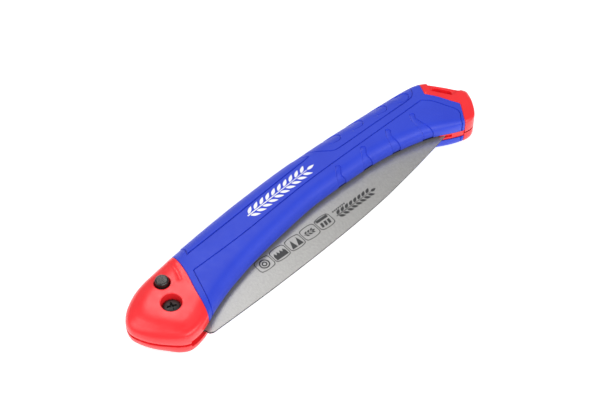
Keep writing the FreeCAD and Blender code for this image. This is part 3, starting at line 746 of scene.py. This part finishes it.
def surface(xy, side):
    """Outer surface of one half: its points, the height it would have with no lines or grooves, and the
    distance in from the outline."""
    distance, out, radius = edge_place(xy, side)
    high, lean, rise = round_over(distance, radius, HALF_THICK)
    high = high - broad_form(xy, distance, rise)
    high = softened(xy, high, distance, side)
    outside_tray = np.clip(-depth_inside(xy, TRAY), 0, TRAY_WALL) / TRAY_WALL
    tray_top = TRAY_LEVEL + outside_tray * (HALF_THICK - TRAY_LEVEL + 0.1)
    tray, tray_lean, tray_rise = round_over(distance, np.full(len(xy), TRAY_RIM), tray_top)
    lower = tray < high
    high = np.where(lower, tray, high)
    lean = np.where(lower, tray_lean, lean)
    rise = np.where(lower, tray_rise, rise)
    normal = np.column_stack([out * lean[:, None], rise])
    point = np.column_stack([xy, high]) - normal * pressed_depth(xy, side)[:, None]
    return point, high, distance


def valley(distance, deep, half):
    """Depth of a fine groove at a distance from its middle."""
    return deep * np.clip(1 - distance / half, 0, 1)**0.8


def rounded_rim(gap, radius):
    """How far a hole's edge is rounded down at a distance from the hole."""
    step = np.clip(1 - gap / radius, 0, 1)
    return radius * (1 - np.sqrt(1 - step**2))


def dent_depth(xy):
    """The shallow sunk band beside the seam on the head."""
    across = np.clip(path_distance(xy, DENT_LINE) / DENT_HALF, 0, 1)
    return DENT_DEPTH * (1 - across**2)**2


def pressed_depth(xy, side):
    """Depth of the lines, grooves and rounded rims at each point of the outer surface."""
    soft = inside(xy, GRIP_PLAN)
    deep = rounded_rim(-depth_inside(xy, LANYARD_HOLE), HOLE_RIM)
    for line in (SHOULDER_LINE, PALM_LINE, PAD_LINE):
        deep = np.maximum(deep, valley(path_distance(xy, line), LINE_DEPTH, LINE_HALF) * soft)
    for line in (HEAD_LINE, TAIL_LINE):
        deep = np.maximum(deep, valley(path_distance(xy, line), SEAM_DEPTH, SEAM_HALF))
    for groove in FINGER_GROOVES:
        within = depth_inside(xy, groove)
        floor = FINGER_DEPTH * np.clip(within / FINGER_WALL, 0, 1)
        rim = valley(np.abs(within - RIM_SHIFT), FINGER_RIM, FINGER_WALL)
        deep = np.maximum(deep, floor + rim)
    for groove, end in zip(THUMB_GROOVES, THUMB_ENDS):
        within = depth_inside(xy, groove)
        floor = THUMB_DEPTH * np.clip(within / THUMB_WALL, 0, 1)
        rim = valley(np.abs(within - RIM_SHIFT), THUMB_RIM, THUMB_WALL)
        fade = smooth_step(xy[:, 0], end[0] - THUMB_LONG, end[0])
        deep = np.maximum(deep, (floor + rim) * fade)
    deep = np.maximum(deep, dent_depth(xy))
    for centre, radius, _ in SUNK[side]:
        deep = np.maximum(deep, rounded_rim(np.hypot(*(xy - centre).T) - radius, RIM_RADIUS))
    raised = np.clip(depth_inside(xy, SHOULDER_PANEL) / LINE_HALF, 0, 1)
    return deep - SHOULDER_RISE * raised * smooth_step(118 - xy[:, 0], 0, 12)


# ---------------------------------------------------------------- the two halves

def half_rows(side):
    """Every path that the triangles of a half follow."""
    inward = beside(EDGE, -1.0, True) - EDGE
    rows = []
    for angle in np.radians(np.linspace(0, 90, 10)):
        rows.append((EDGE + inward * (edge_radii(side) * (1 - math.cos(angle)))[:, None], True))
    rows += [(EDGE + inward * inset, True) for inset in (RIB_INSET, LIP_INSET, CORE_INSET, SLOT_SKIN)]
    for line in (SHOULDER_LINE, PALM_LINE, PAD_LINE):
        offsets = (-LINE_HALF, -LINE_SHOULDER, 0, LINE_SHOULDER, LINE_HALF)
        rows += [(beside(line, offset), False) for offset in offsets]
    for line in (HEAD_LINE, TAIL_LINE):
        rows += [(beside(line, offset), False) for offset in (-SEAM_HALF, 0, SEAM_HALF)]
    rows += [(beside(DENT_LINE, DENT_HALF * share), False) for share in (-0.8, -0.4, 0, 0.4, 0.8)]
    for groove in FINGER_GROOVES:
        rows += [(beside(groove, offset, True), True) for offset in (-RIM_SHIFT, RIM_SHIFT, 0.45)]
    for groove in THUMB_GROOVES:
        rows += [(beside(groove, offset, True), True) for offset in (-RIM_SHIFT, RIM_SHIFT, 0.5)]
    for centre, radius, _ in SUNK[side]:
        rows += [(ring(centre, radius + extra), True) for extra in (0, 0.05, 0.16, RIM_RADIUS, 0.9)]
    rows += [(ring(centre, radius), True) for centre, radius, _ in HOLLOW[side]]
    rows += [(ring(centre, radius), True) for centre, radius in THROUGH[side]]
    rows += [(beside(LANYARD_HOLE, extra, True), True) for extra in (0, 0.1, HOLE_RIM)]
    rows += [(TRAY, True), (beside(TRAY, TRAY_WALL, True), True)]
    plans = (SLOT_PLAN, GAP_PLAN, RIB_PLAN, SLOT_SKIN_PLAN)
    rows += [(straight(plan, 3.0, closed=True), True) for plan in plans]
    return rows


def on_the_flat(xy):
    """True for plan points within the outline and past its rounding."""
    distance, _, radius = edge_place(xy, "lower")
    return inside(xy, EDGE) & (distance > radius + 0.5)


def half_kinds(middle, side):
    """For each plan triangle: the tops of the shell and the grip (-1 where a piece is absent), and the
    undersides of each. A top above 0 and every underside is an index into the list of heights."""
    soft = inside(middle, GRIP_PLAN)
    deep = depth_inside(middle, EDGE)
    slotted = inside(middle, SLOT_PLAN)
    core = deep > np.where(slotted & inside(middle, SLOT_SKIN_PLAN), SLOT_SKIN, CORE_INSET)
    at_rib = inside(middle, RIB_PLAN)
    rib = at_rib & soft & ~core
    heights = [0.0, CORE_LEVEL, SLOT_LEVEL, GAP_LEVEL, TAIL_GAP_LEVEL, LIP_LEVEL]
    low = np.zeros(len(middle), int)
    gapped = inside(middle, GAP_PLAN)
    low[gapped] = heights.index(GAP_LEVEL)
    low[gapped & (deep < LIP_INSET)] = heights.index(LIP_LEVEL)
    low[slotted] = np.where(at_rib[slotted], heights.index(GAP_LEVEL), heights.index(SLOT_LEVEL))
    low[at_rib & ~soft & (deep < RIB_INSET)] = heights.index(TAIL_GAP_LEVEL)
    shell = np.where(soft, np.where(core, heights.index(CORE_LEVEL), -1), 0)
    shell[rib & (deep > RIB_INSET)] = heights.index(SLOT_LEVEL)
    grip = np.where(soft, 0, -1)
    for centre, radius, floor in SUNK[side]:
        heights.append(floor)
        within = near(middle, centre, radius)
        shell[within] = len(heights) - 1
        grip[within] = -1
    for centre, radius, ceiling in HOLLOW[side]:
        heights.append(ceiling)
        low[near(middle, centre, radius)] = len(heights) - 1
    holes = inside(middle, LANYARD_HOLE)
    for centre, radius in THROUGH[side]:
        holes |= near(middle, centre, radius)
    shell[holes] = -1
    grip[holes] = -1
    grip_low = np.where(core, heights.index(CORE_LEVEL), np.where(rib, heights.index(SLOT_LEVEL), low))
    return shell, low, grip, grip_low, heights


def make_half(side, red, blue):
    """The hard shell and the soft grip of one half."""
    rows = half_rows(side)
    flat, corners, middle = triangulate(rows, filler(rows, on_the_flat, 1.5, 0.67))
    wanted = inside(middle, EDGE)
    corners, middle = corners[wanted], middle[wanted]
    shell, shell_low, grip, grip_low, heights = half_kinds(middle, side)
    outer, high, distance = surface(flat, side)
    out = edge_place(flat, side)[1]
    on_edge = distance < ON_EDGE
    up = 1 if side == "upper" else -1

    def placed(xy, height):
        return np.column_stack([xy, np.full(len(xy), HALF_THICK) + up * height])

    tops = {0: placed(outer[:, :2], outer[:, 2])}
    lows = {}
    edge_rows = {}
    rim = np.where(on_edge[:, None], outer[:, :2], flat)
    rounding = np.where(flat[:, 0] < HEAD_END, LIP_RADIUS, PARTING_RADIUS)
    drawn_in = rim - out * (rounding * on_edge)[:, None]
    for kind, height in enumerate(heights):
        level = np.full(len(flat), height)
        if height == CORE_LEVEL:
            level = np.minimum(level, high - CORE_SKIN)
        if kind:
            tops[kind] = placed(flat, level)
        lows[kind] = placed(drawn_in, level)
        edge_rows[kind] = []
        for angle in np.radians((90, 60, 30)):
            inset = rounding * (1 - math.sin(angle))
            lift = height + rounding * (1 - math.cos(angle))
            edge_rows[kind].append(placed(rim - out * inset[:, None], lift))
    made = []
    for name, top, low, material in (("shell", shell, shell_low, red), ("grip", grip, grip_low, blue)):
        there = top >= 0
        vertices, faces = closed_solid(corners[there], top[there], tops, low[there], lows, on_edge,
                                       edge_rows)
        made.append(make_object(f"{side}_{name}", vertices, faces, material))
    return made


# ---------------------------------------------------------------- blade

BLADE_MIDDLE = HALF_THICK
BLADE_HALF = (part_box("saw_blade")[1][2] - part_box("saw_blade")[0][2]) / MM / 2
BORE_RADIUS = 4.04
# The tang clears the button's collar with a round relief for the shut blade and one for the open blade.
RELIEF_RADIUS = 4.8
SHUT_RELIEF_TURN = 96
OPEN_RELIEF_TURN = 82
HEEL = [(2.0, -16.2), (6.2, -18.9)]
HEEL_MIDDLE = (6.9, -21.4)
SPINE = [(9.2, -22.5), (50.0, -21.3), (95.0, -18.6), (130.0, -15.1), (160.0, -10.0), (191.3, -3.6)]
LUG = [(10.6, 13.2), (13.0, 11.5)]
TOOTH_START = np.array([14.2, 7.9])
TOOTH_BEND = np.array([130.0, 9.7])
TOOTH_BEND_RADIUS = 205.0
TOOTH_COUNT = 47
TOOTH_PITCH = 3.63
TOOTH_DEPTH = 2.4
TOOTH_LEAN = 0.42
FACET_DROP = 1.05
FACET_REACH = 1.25
TOOTH_SET = 0.12
TIP = [(187.0, -0.6), (191.8, -2.9)]
CHAMFER = 0.12


def tooth_line(run):
    """The point at a given run along the tooth line, and the direction that the teeth point there."""
    along = (TOOTH_BEND - TOOTH_START) / np.linalg.norm(TOOTH_BEND - TOOTH_START)
    outward = np.array([-along[1], along[0]])
    level = np.linalg.norm(TOOTH_BEND - TOOTH_START)
    if run <= level:
        return TOOTH_START + along * run, outward
    turn = (run - level) / TOOTH_BEND_RADIUS
    direction = outward * math.cos(turn) + along * math.sin(turn)
    return TOOTH_BEND - outward * TOOTH_BEND_RADIUS + direction * TOOTH_BEND_RADIUS, direction


def blade_outline():
    """The blade's outline, clockwise from the lug, and each tooth as its gullet, its point, the next
    gullet and the foot of its ground facet."""
    button = np.array(BUTTON)
    reach = np.linalg.norm(button)
    shut = math.atan2(button[1], button[0])
    hub = reach - RELIEF_RADIUS
    heel_arc = through([HEEL[1], HEEL_MIDDLE, SPINE[0]], 0.5)
    teeth = []
    facets = []
    for k in range(TOOTH_COUNT):
        gullet, outward = tooth_line(k * TOOTH_PITCH)
        gullet = gullet - outward * TOOTH_DEPTH
        point, outward = tooth_line((k + TOOTH_LEAN) * TOOTH_PITCH)
        following, next_outward = tooth_line((k + 1) * TOOTH_PITCH)
        following = following - next_outward * TOOTH_DEPTH
        teeth += [gullet, point]
        facets.append((gullet, point, following, point - outward * FACET_REACH))
    teeth.append(facets[-1][2])
    open_relief = arc(-button, RELIEF_RADIUS, shut - math.radians(OPEN_RELIEF_TURN), shut)
    hub_arc = arc((0, 0), hub, shut + math.pi, shut, 0.8)
    shut_relief = arc(button, RELIEF_RADIUS, shut - math.pi,
                      shut - math.pi + math.radians(SHUT_RELIEF_TURN))
    outline = np.vstack([
        np.array(LUG), np.array(teeth), np.array(TIP), through(SPINE, 3.0)[::-1], heel_arc[::-1][1:],
        np.array(HEEL[:1]), open_relief, hub_arc[1:-1], shut_relief])
    return outline, facets


def make_blade(steel):
    """The blade with its bore, chamfered edges and ground, slightly set teeth."""
    outline, facets = blade_outline()
    rows = [(straight(outline, 4.0, closed=True), True), (ring((0, 0), BORE_RADIUS), True),
            (ring((0, 0), BORE_RADIUS + CHAMFER), True)]
    spine = through(SPINE, 3.0)
    rows.append((beside(spine, -CHAMFER), False))
    for gullet, point, following, foot in facets:
        rows.append((np.array([gullet, foot, following]), False))
        rows.append((np.array([point, foot]), False))
    shape = straight(outline, 4.0, closed=True)
    flat, corners, middle = triangulate(rows, filler(rows, lambda xy: inside(xy, shape), 5.0, 2.0))
    wanted = inside(middle, outline) & ~near(middle, (0, 0), BORE_RADIUS)
    corners = corners[wanted]
    top = np.full(len(flat), BLADE_HALF)
    bottom = np.full(len(flat), -BLADE_HALF)
    for k, (gullet, point, following, foot) in enumerate(facets):
        at = np.hypot(*(flat - point).T) < 0.01
        lean = TOOTH_SET if k % 2 else -TOOTH_SET
        if k % 2:
            bottom[at] += FACET_DROP
        else:
            top[at] -= FACET_DROP
        top[at] += lean
        bottom[at] += lean
    eased = (path_distance(flat, spine) < 0.01) | (np.hypot(*flat.T) < BORE_RADIUS + 0.01)
    top[eased] -= CHAMFER
    bottom[eased] += CHAMFER
    tops = {0: np.column_stack([flat, BLADE_MIDDLE + top])}
    lows = {0: np.column_stack([flat, BLADE_MIDDLE + bottom])}
    kinds = np.zeros(len(corners), int)
    vertices, faces = closed_solid(corners, kinds, tops, kinds, lows)
    return make_object("blade", vertices, faces, steel, sharp=20)


# ---------------------------------------------------------------- bolt and button

BOLT_SEAT = 14.6
BOLT_END = 0.6
BOLT_RADIUS = 2.5
BOLT_HEAD_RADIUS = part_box("pivot_bolt")[1][0] / MM - PIVOT[0] / MM
BOLT_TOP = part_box("pivot_bolt")[1][2] / MM
CROSS_REACH = 2.5
CROSS_HALF = 0.55
CROSS_DEPTH = 1.6
CROSS_WALL = 0.28
DRIVE_TURN = math.radians(-22)


def cross(reach, half, fillet):
    """Outline of a cross-head recess with eased inner corners."""
    arm = [(reach, -half), (reach + half * 0.35, 0), (reach, half), (half + fillet, half),
           (half + fillet * 0.3, half + fillet * 0.3)]
    points = []
    for quarter in range(4):
        turn = DRIVE_TURN + quarter * math.pi / 2
        c, s = math.cos(turn), math.sin(turn)
        points += [(x * c - y * s, x * s + y * c) for x, y in arm]
    return straight(points, 0.3, closed=True)


def make_bolt(steel):
    """The pivot bolt: a low domed head with a cross recess, and its shank."""
    outer = cross(CROSS_REACH, CROSS_HALF, 0.75)
    inner = cross(CROSS_REACH - CROSS_WALL * 1.4, CROSS_HALF - CROSS_WALL, 0.5)
    radii = [BOLT_HEAD_RADIUS - inset for inset in (0, 0.06, 0.2, 0.42, 0.7, 1.1, 1.6)]
    rows = [(ring((0, 0), radius, 0.35), True) for radius in radii + [BOLT_RADIUS]]
    rows += [(outer, True), (inner, True)]
    head = ring((0, 0), BOLT_HEAD_RADIUS, 0.35)
    flat, corners, middle = triangulate(rows, filler(rows, lambda xy: inside(xy, head), 0.5, 0.25))
    radius = np.hypot(*flat.T)
    dome = 0.55 * (radius / BOLT_HEAD_RADIUS)**2
    edge = rounded_rim(BOLT_HEAD_RADIUS - radius, 0.75)
    wall = np.clip(depth_inside(flat, outer) / CROSS_WALL, 0, 1)
    top = BOLT_TOP - dome - edge - wall * CROSS_DEPTH
    tops = {0: np.column_stack([flat, top])}
    lows = {0: np.column_stack([flat, np.full(len(flat), BOLT_SEAT)]),
            1: np.column_stack([flat, np.full(len(flat), BOLT_END)])}
    shank = near(middle, (0, 0), BOLT_RADIUS).astype(int)
    vertices, faces = closed_solid(corners, np.zeros(len(corners), int), tops, shank, lows)
    return make_object("bolt", vertices, faces, steel)


def lathe(name, profile, centre, material, steps=72):
    """A turned piece from the radii and heights down one side of its section."""
    vertices = []
    faces = []
    for radius, height in profile:
        for k in range(steps):
            angle = 2 * math.pi * k / steps
            vertices.append((centre[0] + radius * math.cos(angle), centre[1] + radius * math.sin(angle),
                             height))
    for row in range(len(profile) - 1):
        for k in range(steps):
            following = (k + 1) % steps
            faces.append((row * steps + k, row * steps + following, (row + 1) * steps + following,
                          (row + 1) * steps + k))
    faces.append(tuple(range(steps)))
    faces.append(tuple(range((len(profile) - 1) * steps, len(profile) * steps)))
    return make_object(name, vertices, faces, material)


def make_button(steel):
    """The lock button: a stepped pin with a bevelled, faintly dished end."""
    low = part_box("lock_button")[0][2] / MM
    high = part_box("lock_button")[1][2] / MM
    end = [(0.02, -0.06), (1.6, -0.05), (2.5, -0.01), (2.7, 0), (2.82, -0.03), (3.44, -0.6),
           (3.55, -0.74), (3.6, -0.98)]
    collar = [(3.6, 11.35), (3.75, 11.2), (4.45, 11.2), (4.6, 11.05), (4.6, 9.35), (4.45, 9.2)]
    pin = [(2.0, 9.2), (2.0, low + 0.4), (1.6, low), (0.02, low)]
    profile = [(radius, high + drop) for radius, drop in end] + collar + pin
    return lathe("button", profile, BUTTON, steel)


SPRING_RADIUS = 3.3
SPRING_WIRE = 0.35
SPRING_TURNS = 5


def make_lock_spring(steel):
    """The coil under the button's collar, built at the length of the lock spring's CAD part."""
    low, high = (corner[2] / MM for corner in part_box("lock_spring"))
    steps_a_turn, sides = 32, 10
    steps = SPRING_TURNS * steps_a_turn
    vertices = []
    faces = [tuple(range(sides)), tuple(range(steps * sides, (steps + 1) * sides))]
    for step in range(steps + 1):
        turn = 2 * math.pi * step / steps_a_turn
        middle = low + SPRING_WIRE + (high - low - 2 * SPRING_WIRE) * step / steps
        for k in range(sides):
            around = 2 * math.pi * k / sides
            reach = SPRING_RADIUS + SPRING_WIRE * math.cos(around)
            vertices.append((BUTTON[0] + reach * math.cos(turn), BUTTON[1] + reach * math.sin(turn),
                             middle + SPRING_WIRE * math.sin(around)))
            if step:
                here, beside_here = step * sides + k, step * sides + (k + 1) % sides
                faces.append((here - sides, beside_here - sides, beside_here, here))
    piece = make_object("lock_spring_coil", vertices, faces, steel)
    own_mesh(piece)
    return piece


# ---------------------------------------------------------------- prints

PRINT_PROUD = 0.035
PRINT_SUNK = 0.02
SPRIG_START = np.array([65.0, 18.1])
SPRIG_END = np.array([115.0, 22.3])
SPRIG_LEAF = (5.6, 1.9)
SPRIG_STEP = 4.4
CELL_START = np.array([55.6, -6.5])
CELL_STEP = np.array([10.6, 0.16])
CELL_HALF = np.array([5.0, 3.6])
CELL_ARCH = 0.8
CELL_LINE = 0.4
MARK_START = np.array([105.6, -7.2])
MARK_END = np.array([134.6, -6.4])
TICK_START = np.array([105.4, -3.7])
TICK_END = np.array([114.6, -3.2])


def along(start, end):
    """Turns places measured along and across a line into plan points."""
    run = (end - start) / np.linalg.norm(end - start)
    side = np.array([-run[1], run[0]])
    return lambda places: start + np.outer(np.asarray(places)[:, 0], run) + np.outer(
        np.asarray(places)[:, 1], side)


def leaf(root, heading, length, width):
    """A pointed oval from its root, leaning by the heading."""
    share = np.linspace(0, 1, 9)
    half = width / 2 * np.sin(math.pi * share**0.85)
    sides = np.vstack([np.column_stack([share * length, half]),
                       np.column_stack([share * length, -half])[-2:0:-1]])
    c, s = math.cos(heading), math.sin(heading)
    return np.array([(root[0] + u * c - v * s, root[1] + u * s + v * c) for u, v in sides])


def sprig(start, end, leaf_size, step, gap):
    """A stem with a pair of leaves at every step and one at its tip."""
    length = np.linalg.norm(end - start)
    place = along(start, end)
    stem_end = length - leaf_size[0]
    shapes = [place([(0, -gap), (stem_end, -gap * 0.5), (stem_end, gap * 0.5), (0, gap)])]
    for run in np.arange(step * 0.3, stem_end - step * 0.2, step):
        for side in (1, -1):
            root = (run, side * gap * 2)
            shapes.append(place(leaf(root, side * math.radians(34), *leaf_size)))
    shapes.append(place(leaf((stem_end + gap, 0), 0, leaf_size[0] - gap, leaf_size[1])))
    return shapes


def cell_outline(middle, half):
    """A rounded frame whose long sides are arched."""
    across = np.linspace(-1, 1, 9)
    far = [(x * half[0], half[1] + CELL_ARCH * (1 - x * x)) for x in across * 0.86]
    near_side = [(-x, -y) for x, y in far]
    return middle + np.array(far[::-1] + [(-half[0], half[1] * 0.75), (-half[0], -half[1] * 0.75)]
                             + near_side[::-1] + [(half[0], -half[1] * 0.75), (half[0], half[1] * 0.75)])


def bar(middle, half, lean=0.0):
    """A rectangle, slanted by lean."""
    corners = [(-half[0] - lean, -half[1]), (half[0] - lean, -half[1]), (half[0] + lean, half[1]),
               (-half[0] + lean, half[1])]
    return middle + np.array(corners)


def cell_shapes():
    """Five framed signs: rings of a log, a row of teeth, two sharp teeth, a sprig, bars under a cap."""
    shapes = []
    middles = [CELL_START + CELL_STEP * k for k in range(5)]
    for middle in middles:
        shapes += [cell_outline(middle, CELL_HALF), cell_outline(middle, CELL_HALF - CELL_LINE)]
    for radius in (3.0, 2.2, 1.6, 0.8):
        shapes.append(ring(middles[0], radius, 0.4))
    teeth = [(-3.9 + 0.975 * k, 1.7 if k % 2 else 0.0) for k in range(9)]
    shapes.append(middles[1] + np.array(teeth + [(3.9, -2.9), (-3.9, -2.9)]))
    for x in (-2.0, 2.0):
        shapes.append(middles[2] + np.array([(x - 1.8, -2.9), (x + 1.8, -2.9), (x + 0.6, 2.7)]))
    place = middles[3] + np.array([-3.6, 0.0])
    shapes += sprig(place, place + np.array([7.2, 0.0]), (2.4, 1.1), 1.9, 0.2)
    shapes.append(bar(middles[4] + np.array([0.0, 2.5]), (3.9, 0.9)))
    shapes += [bar(middles[4] + np.array([x, -1.0]), (0.8, 1.5), 0.3) for x in (-2.4, 0.0, 2.4)]
    return shapes


def make_print(name, shapes, height, ink):
    """Ink standing just proud of a surface, filled where an odd number of the shapes overlap."""
    outlines = [straight(shape, 0.8, closed=True) for shape in shapes]
    flat, corners, middle = triangulate([(outline, True) for outline in outlines])
    inked = np.zeros(len(middle), bool)
    for outline in outlines:
        inked ^= inside(middle, outline)
    corners = corners[inked]
    level = height(flat)
    kinds = np.zeros(len(corners), int)
    vertices, faces = closed_solid(corners, kinds, {0: np.column_stack([flat, level + PRINT_PROUD])},
                                   kinds, {0: np.column_stack([flat, level - PRINT_SUNK])})
    return make_object(name, vertices, faces, ink)


def handle_height(xy):
    return HALF_THICK + surface(xy, "upper")[0][:, 2]


def blade_height(xy):
    return np.full(len(xy), BLADE_MIDDLE + BLADE_HALF)


# ---------------------------------------------------------------- stage, light and camera

FLOOR_REACH = 6.0
SURROUND_STRENGTH = 0.4
CAMERA_LENS = 90
CAMERA_SENSOR = 36
CAMERA_DISTANCE = 0.8108
CAMERA_AZIMUTH = math.radians(-41.0)
CAMERA_ELEVATION = math.radians(50.2)
CAMERA_SHIFT = Vector((0.00105, 0.0084, -0.0015))


def area_light(name, place, aim, size, power):
    """A soft rectangular lamp."""
    data = bpy.data.lights.new(name, "AREA")
    data.shape = "RECTANGLE"
    data.size, data.size_y = size
    data.energy = power
    lamp = bpy.data.objects.new(name, data)
    lamp.location = place
    lamp.rotation_euler = (Vector(aim) - Vector(place)).to_track_quat("-Z", "Y").to_euler()
    bpy.context.scene.collection.objects.link(lamp)


def make_stage(floor_material):
    """A pale floor, an even bright surround and soft lamps."""
    mesh = bpy.data.meshes.new("floor")
    corners = [(x * FLOOR_REACH, y * FLOOR_REACH, 0) for x, y in ((-1, -1), (1, -1), (1, 1), (-1, 1))]
    mesh.from_pydata(corners, [], [(0, 1, 2, 3)])
    mesh.materials.append(floor_material)
    floor = bpy.data.objects.new("floor", mesh)
    bpy.context.scene.collection.objects.link(floor)
    world = bpy.data.worlds.new("studio")
    world.use_nodes = True
    surround = world.node_tree.nodes["Background"]
    surround.inputs["Color"].default_value = (1.0, 1.0, 1.0, 1)
    surround.inputs["Strength"].default_value = SURROUND_STRENGTH
    bpy.context.scene.world = world
    middle = (0, 0, 0.01)
    area_light("back", (0.19, 0.54, 0.90), middle, (0.4, 0.3), 2.0)
    area_light("left", (-0.80, 0.35, 0.80), middle, (0.8, 0.8), 4.6)
    area_light("front", (-0.05, -0.85, 0.80), middle, (1.5, 0.5), 9.5)


def make_camera():
    """A long lens looking down on the closed saw from the head's end."""
    data = bpy.data.cameras.new("camera")
    data.lens = CAMERA_LENS
    data.sensor_width = CAMERA_SENSOR
    camera = bpy.data.objects.new("camera", data)
    low, high = (Vector(corner) for corner in cad_box)
    level = math.cos(CAMERA_ELEVATION)
    back = Vector((math.sin(CAMERA_AZIMUTH) * level, -math.cos(CAMERA_AZIMUTH) * level,
                   math.sin(CAMERA_ELEVATION)))
    camera.location = (low + high) / 2 + CAMERA_SHIFT + back * CAMERA_DISTANCE
    camera.rotation_euler = (-back).to_track_quat("-Z", "Y").to_euler()
    bpy.context.scene.collection.objects.link(camera)
    bpy.context.scene.camera = camera
    bpy.context.scene.view_settings.view_transform = "Standard"


# ---------------------------------------------------------------- the saw

red = red_plastic()
blue = blue_rubber()
steel = ground_steel()
black = dark_steel("black_oxide", (44, 42, 42), 0.42)
screw_black = dark_steel("black_zinc", (52, 50, 50), 0.38)
plain = bright_steel("plain_steel", (198, 198, 200), 0.32)
spring = bright_steel("spring_steel", (176, 176, 182), 0.28)

for half in ("upper", "lower"):
    shell_piece, grip_piece = make_half(half, red, blue)
    keep(shell_piece, "handle", "red_plastic", f"shell_{half}")
    keep(grip_piece, "handle", "blue_grip", f"grip_{half}")
keep(make_blade(steel), "blade", "blade_steel", "saw_blade")
keep(make_bolt(black), "handle", "black_steel", "pivot_bolt")
keep(make_lock_spring(spring), "handle", "spring_steel", "lock_spring")
keep(make_button(dark_steel("polished_black", (36, 33, 31), 0.24)), "button", "black_steel", "lock_button")

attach(make_print("handle_print", sprig(SPRIG_START, SPRIG_END, SPRIG_LEAF, SPRIG_STEP, 0.35),
                   handle_height, printed("white_ink", (246, 246, 248), 0.5)), "handle")
blade_marks = cell_shapes() + sprig(MARK_START, MARK_END, (4.0, 1.8), 3.1, 0.3)
tick_place = along(TICK_START, TICK_END)
blade_marks += [bar(tick_place([(run, 0)])[0], (0.45, 0.5), 0.15) for run in np.arange(0.5, 9.2, 1.4)]
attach(make_print("blade_print", blade_marks, blade_height, printed("grey_ink", (58, 58, 58), 0.5)),
        "blade")

FINISHES = {"black_screw": screw_black, "plain_steel": plain, "spring_steel": spring, "black_steel": black,
            "red_plastic": red, "blue_grip": blue, "blade_steel": steel}
for part in frame["record"]["subparts"]:
    for slot in frame["nodes"][part["node"]].material_slots:
        slot.material = FINISHES[part["material_slot"]]

make_stage(white_floor())
make_camera()
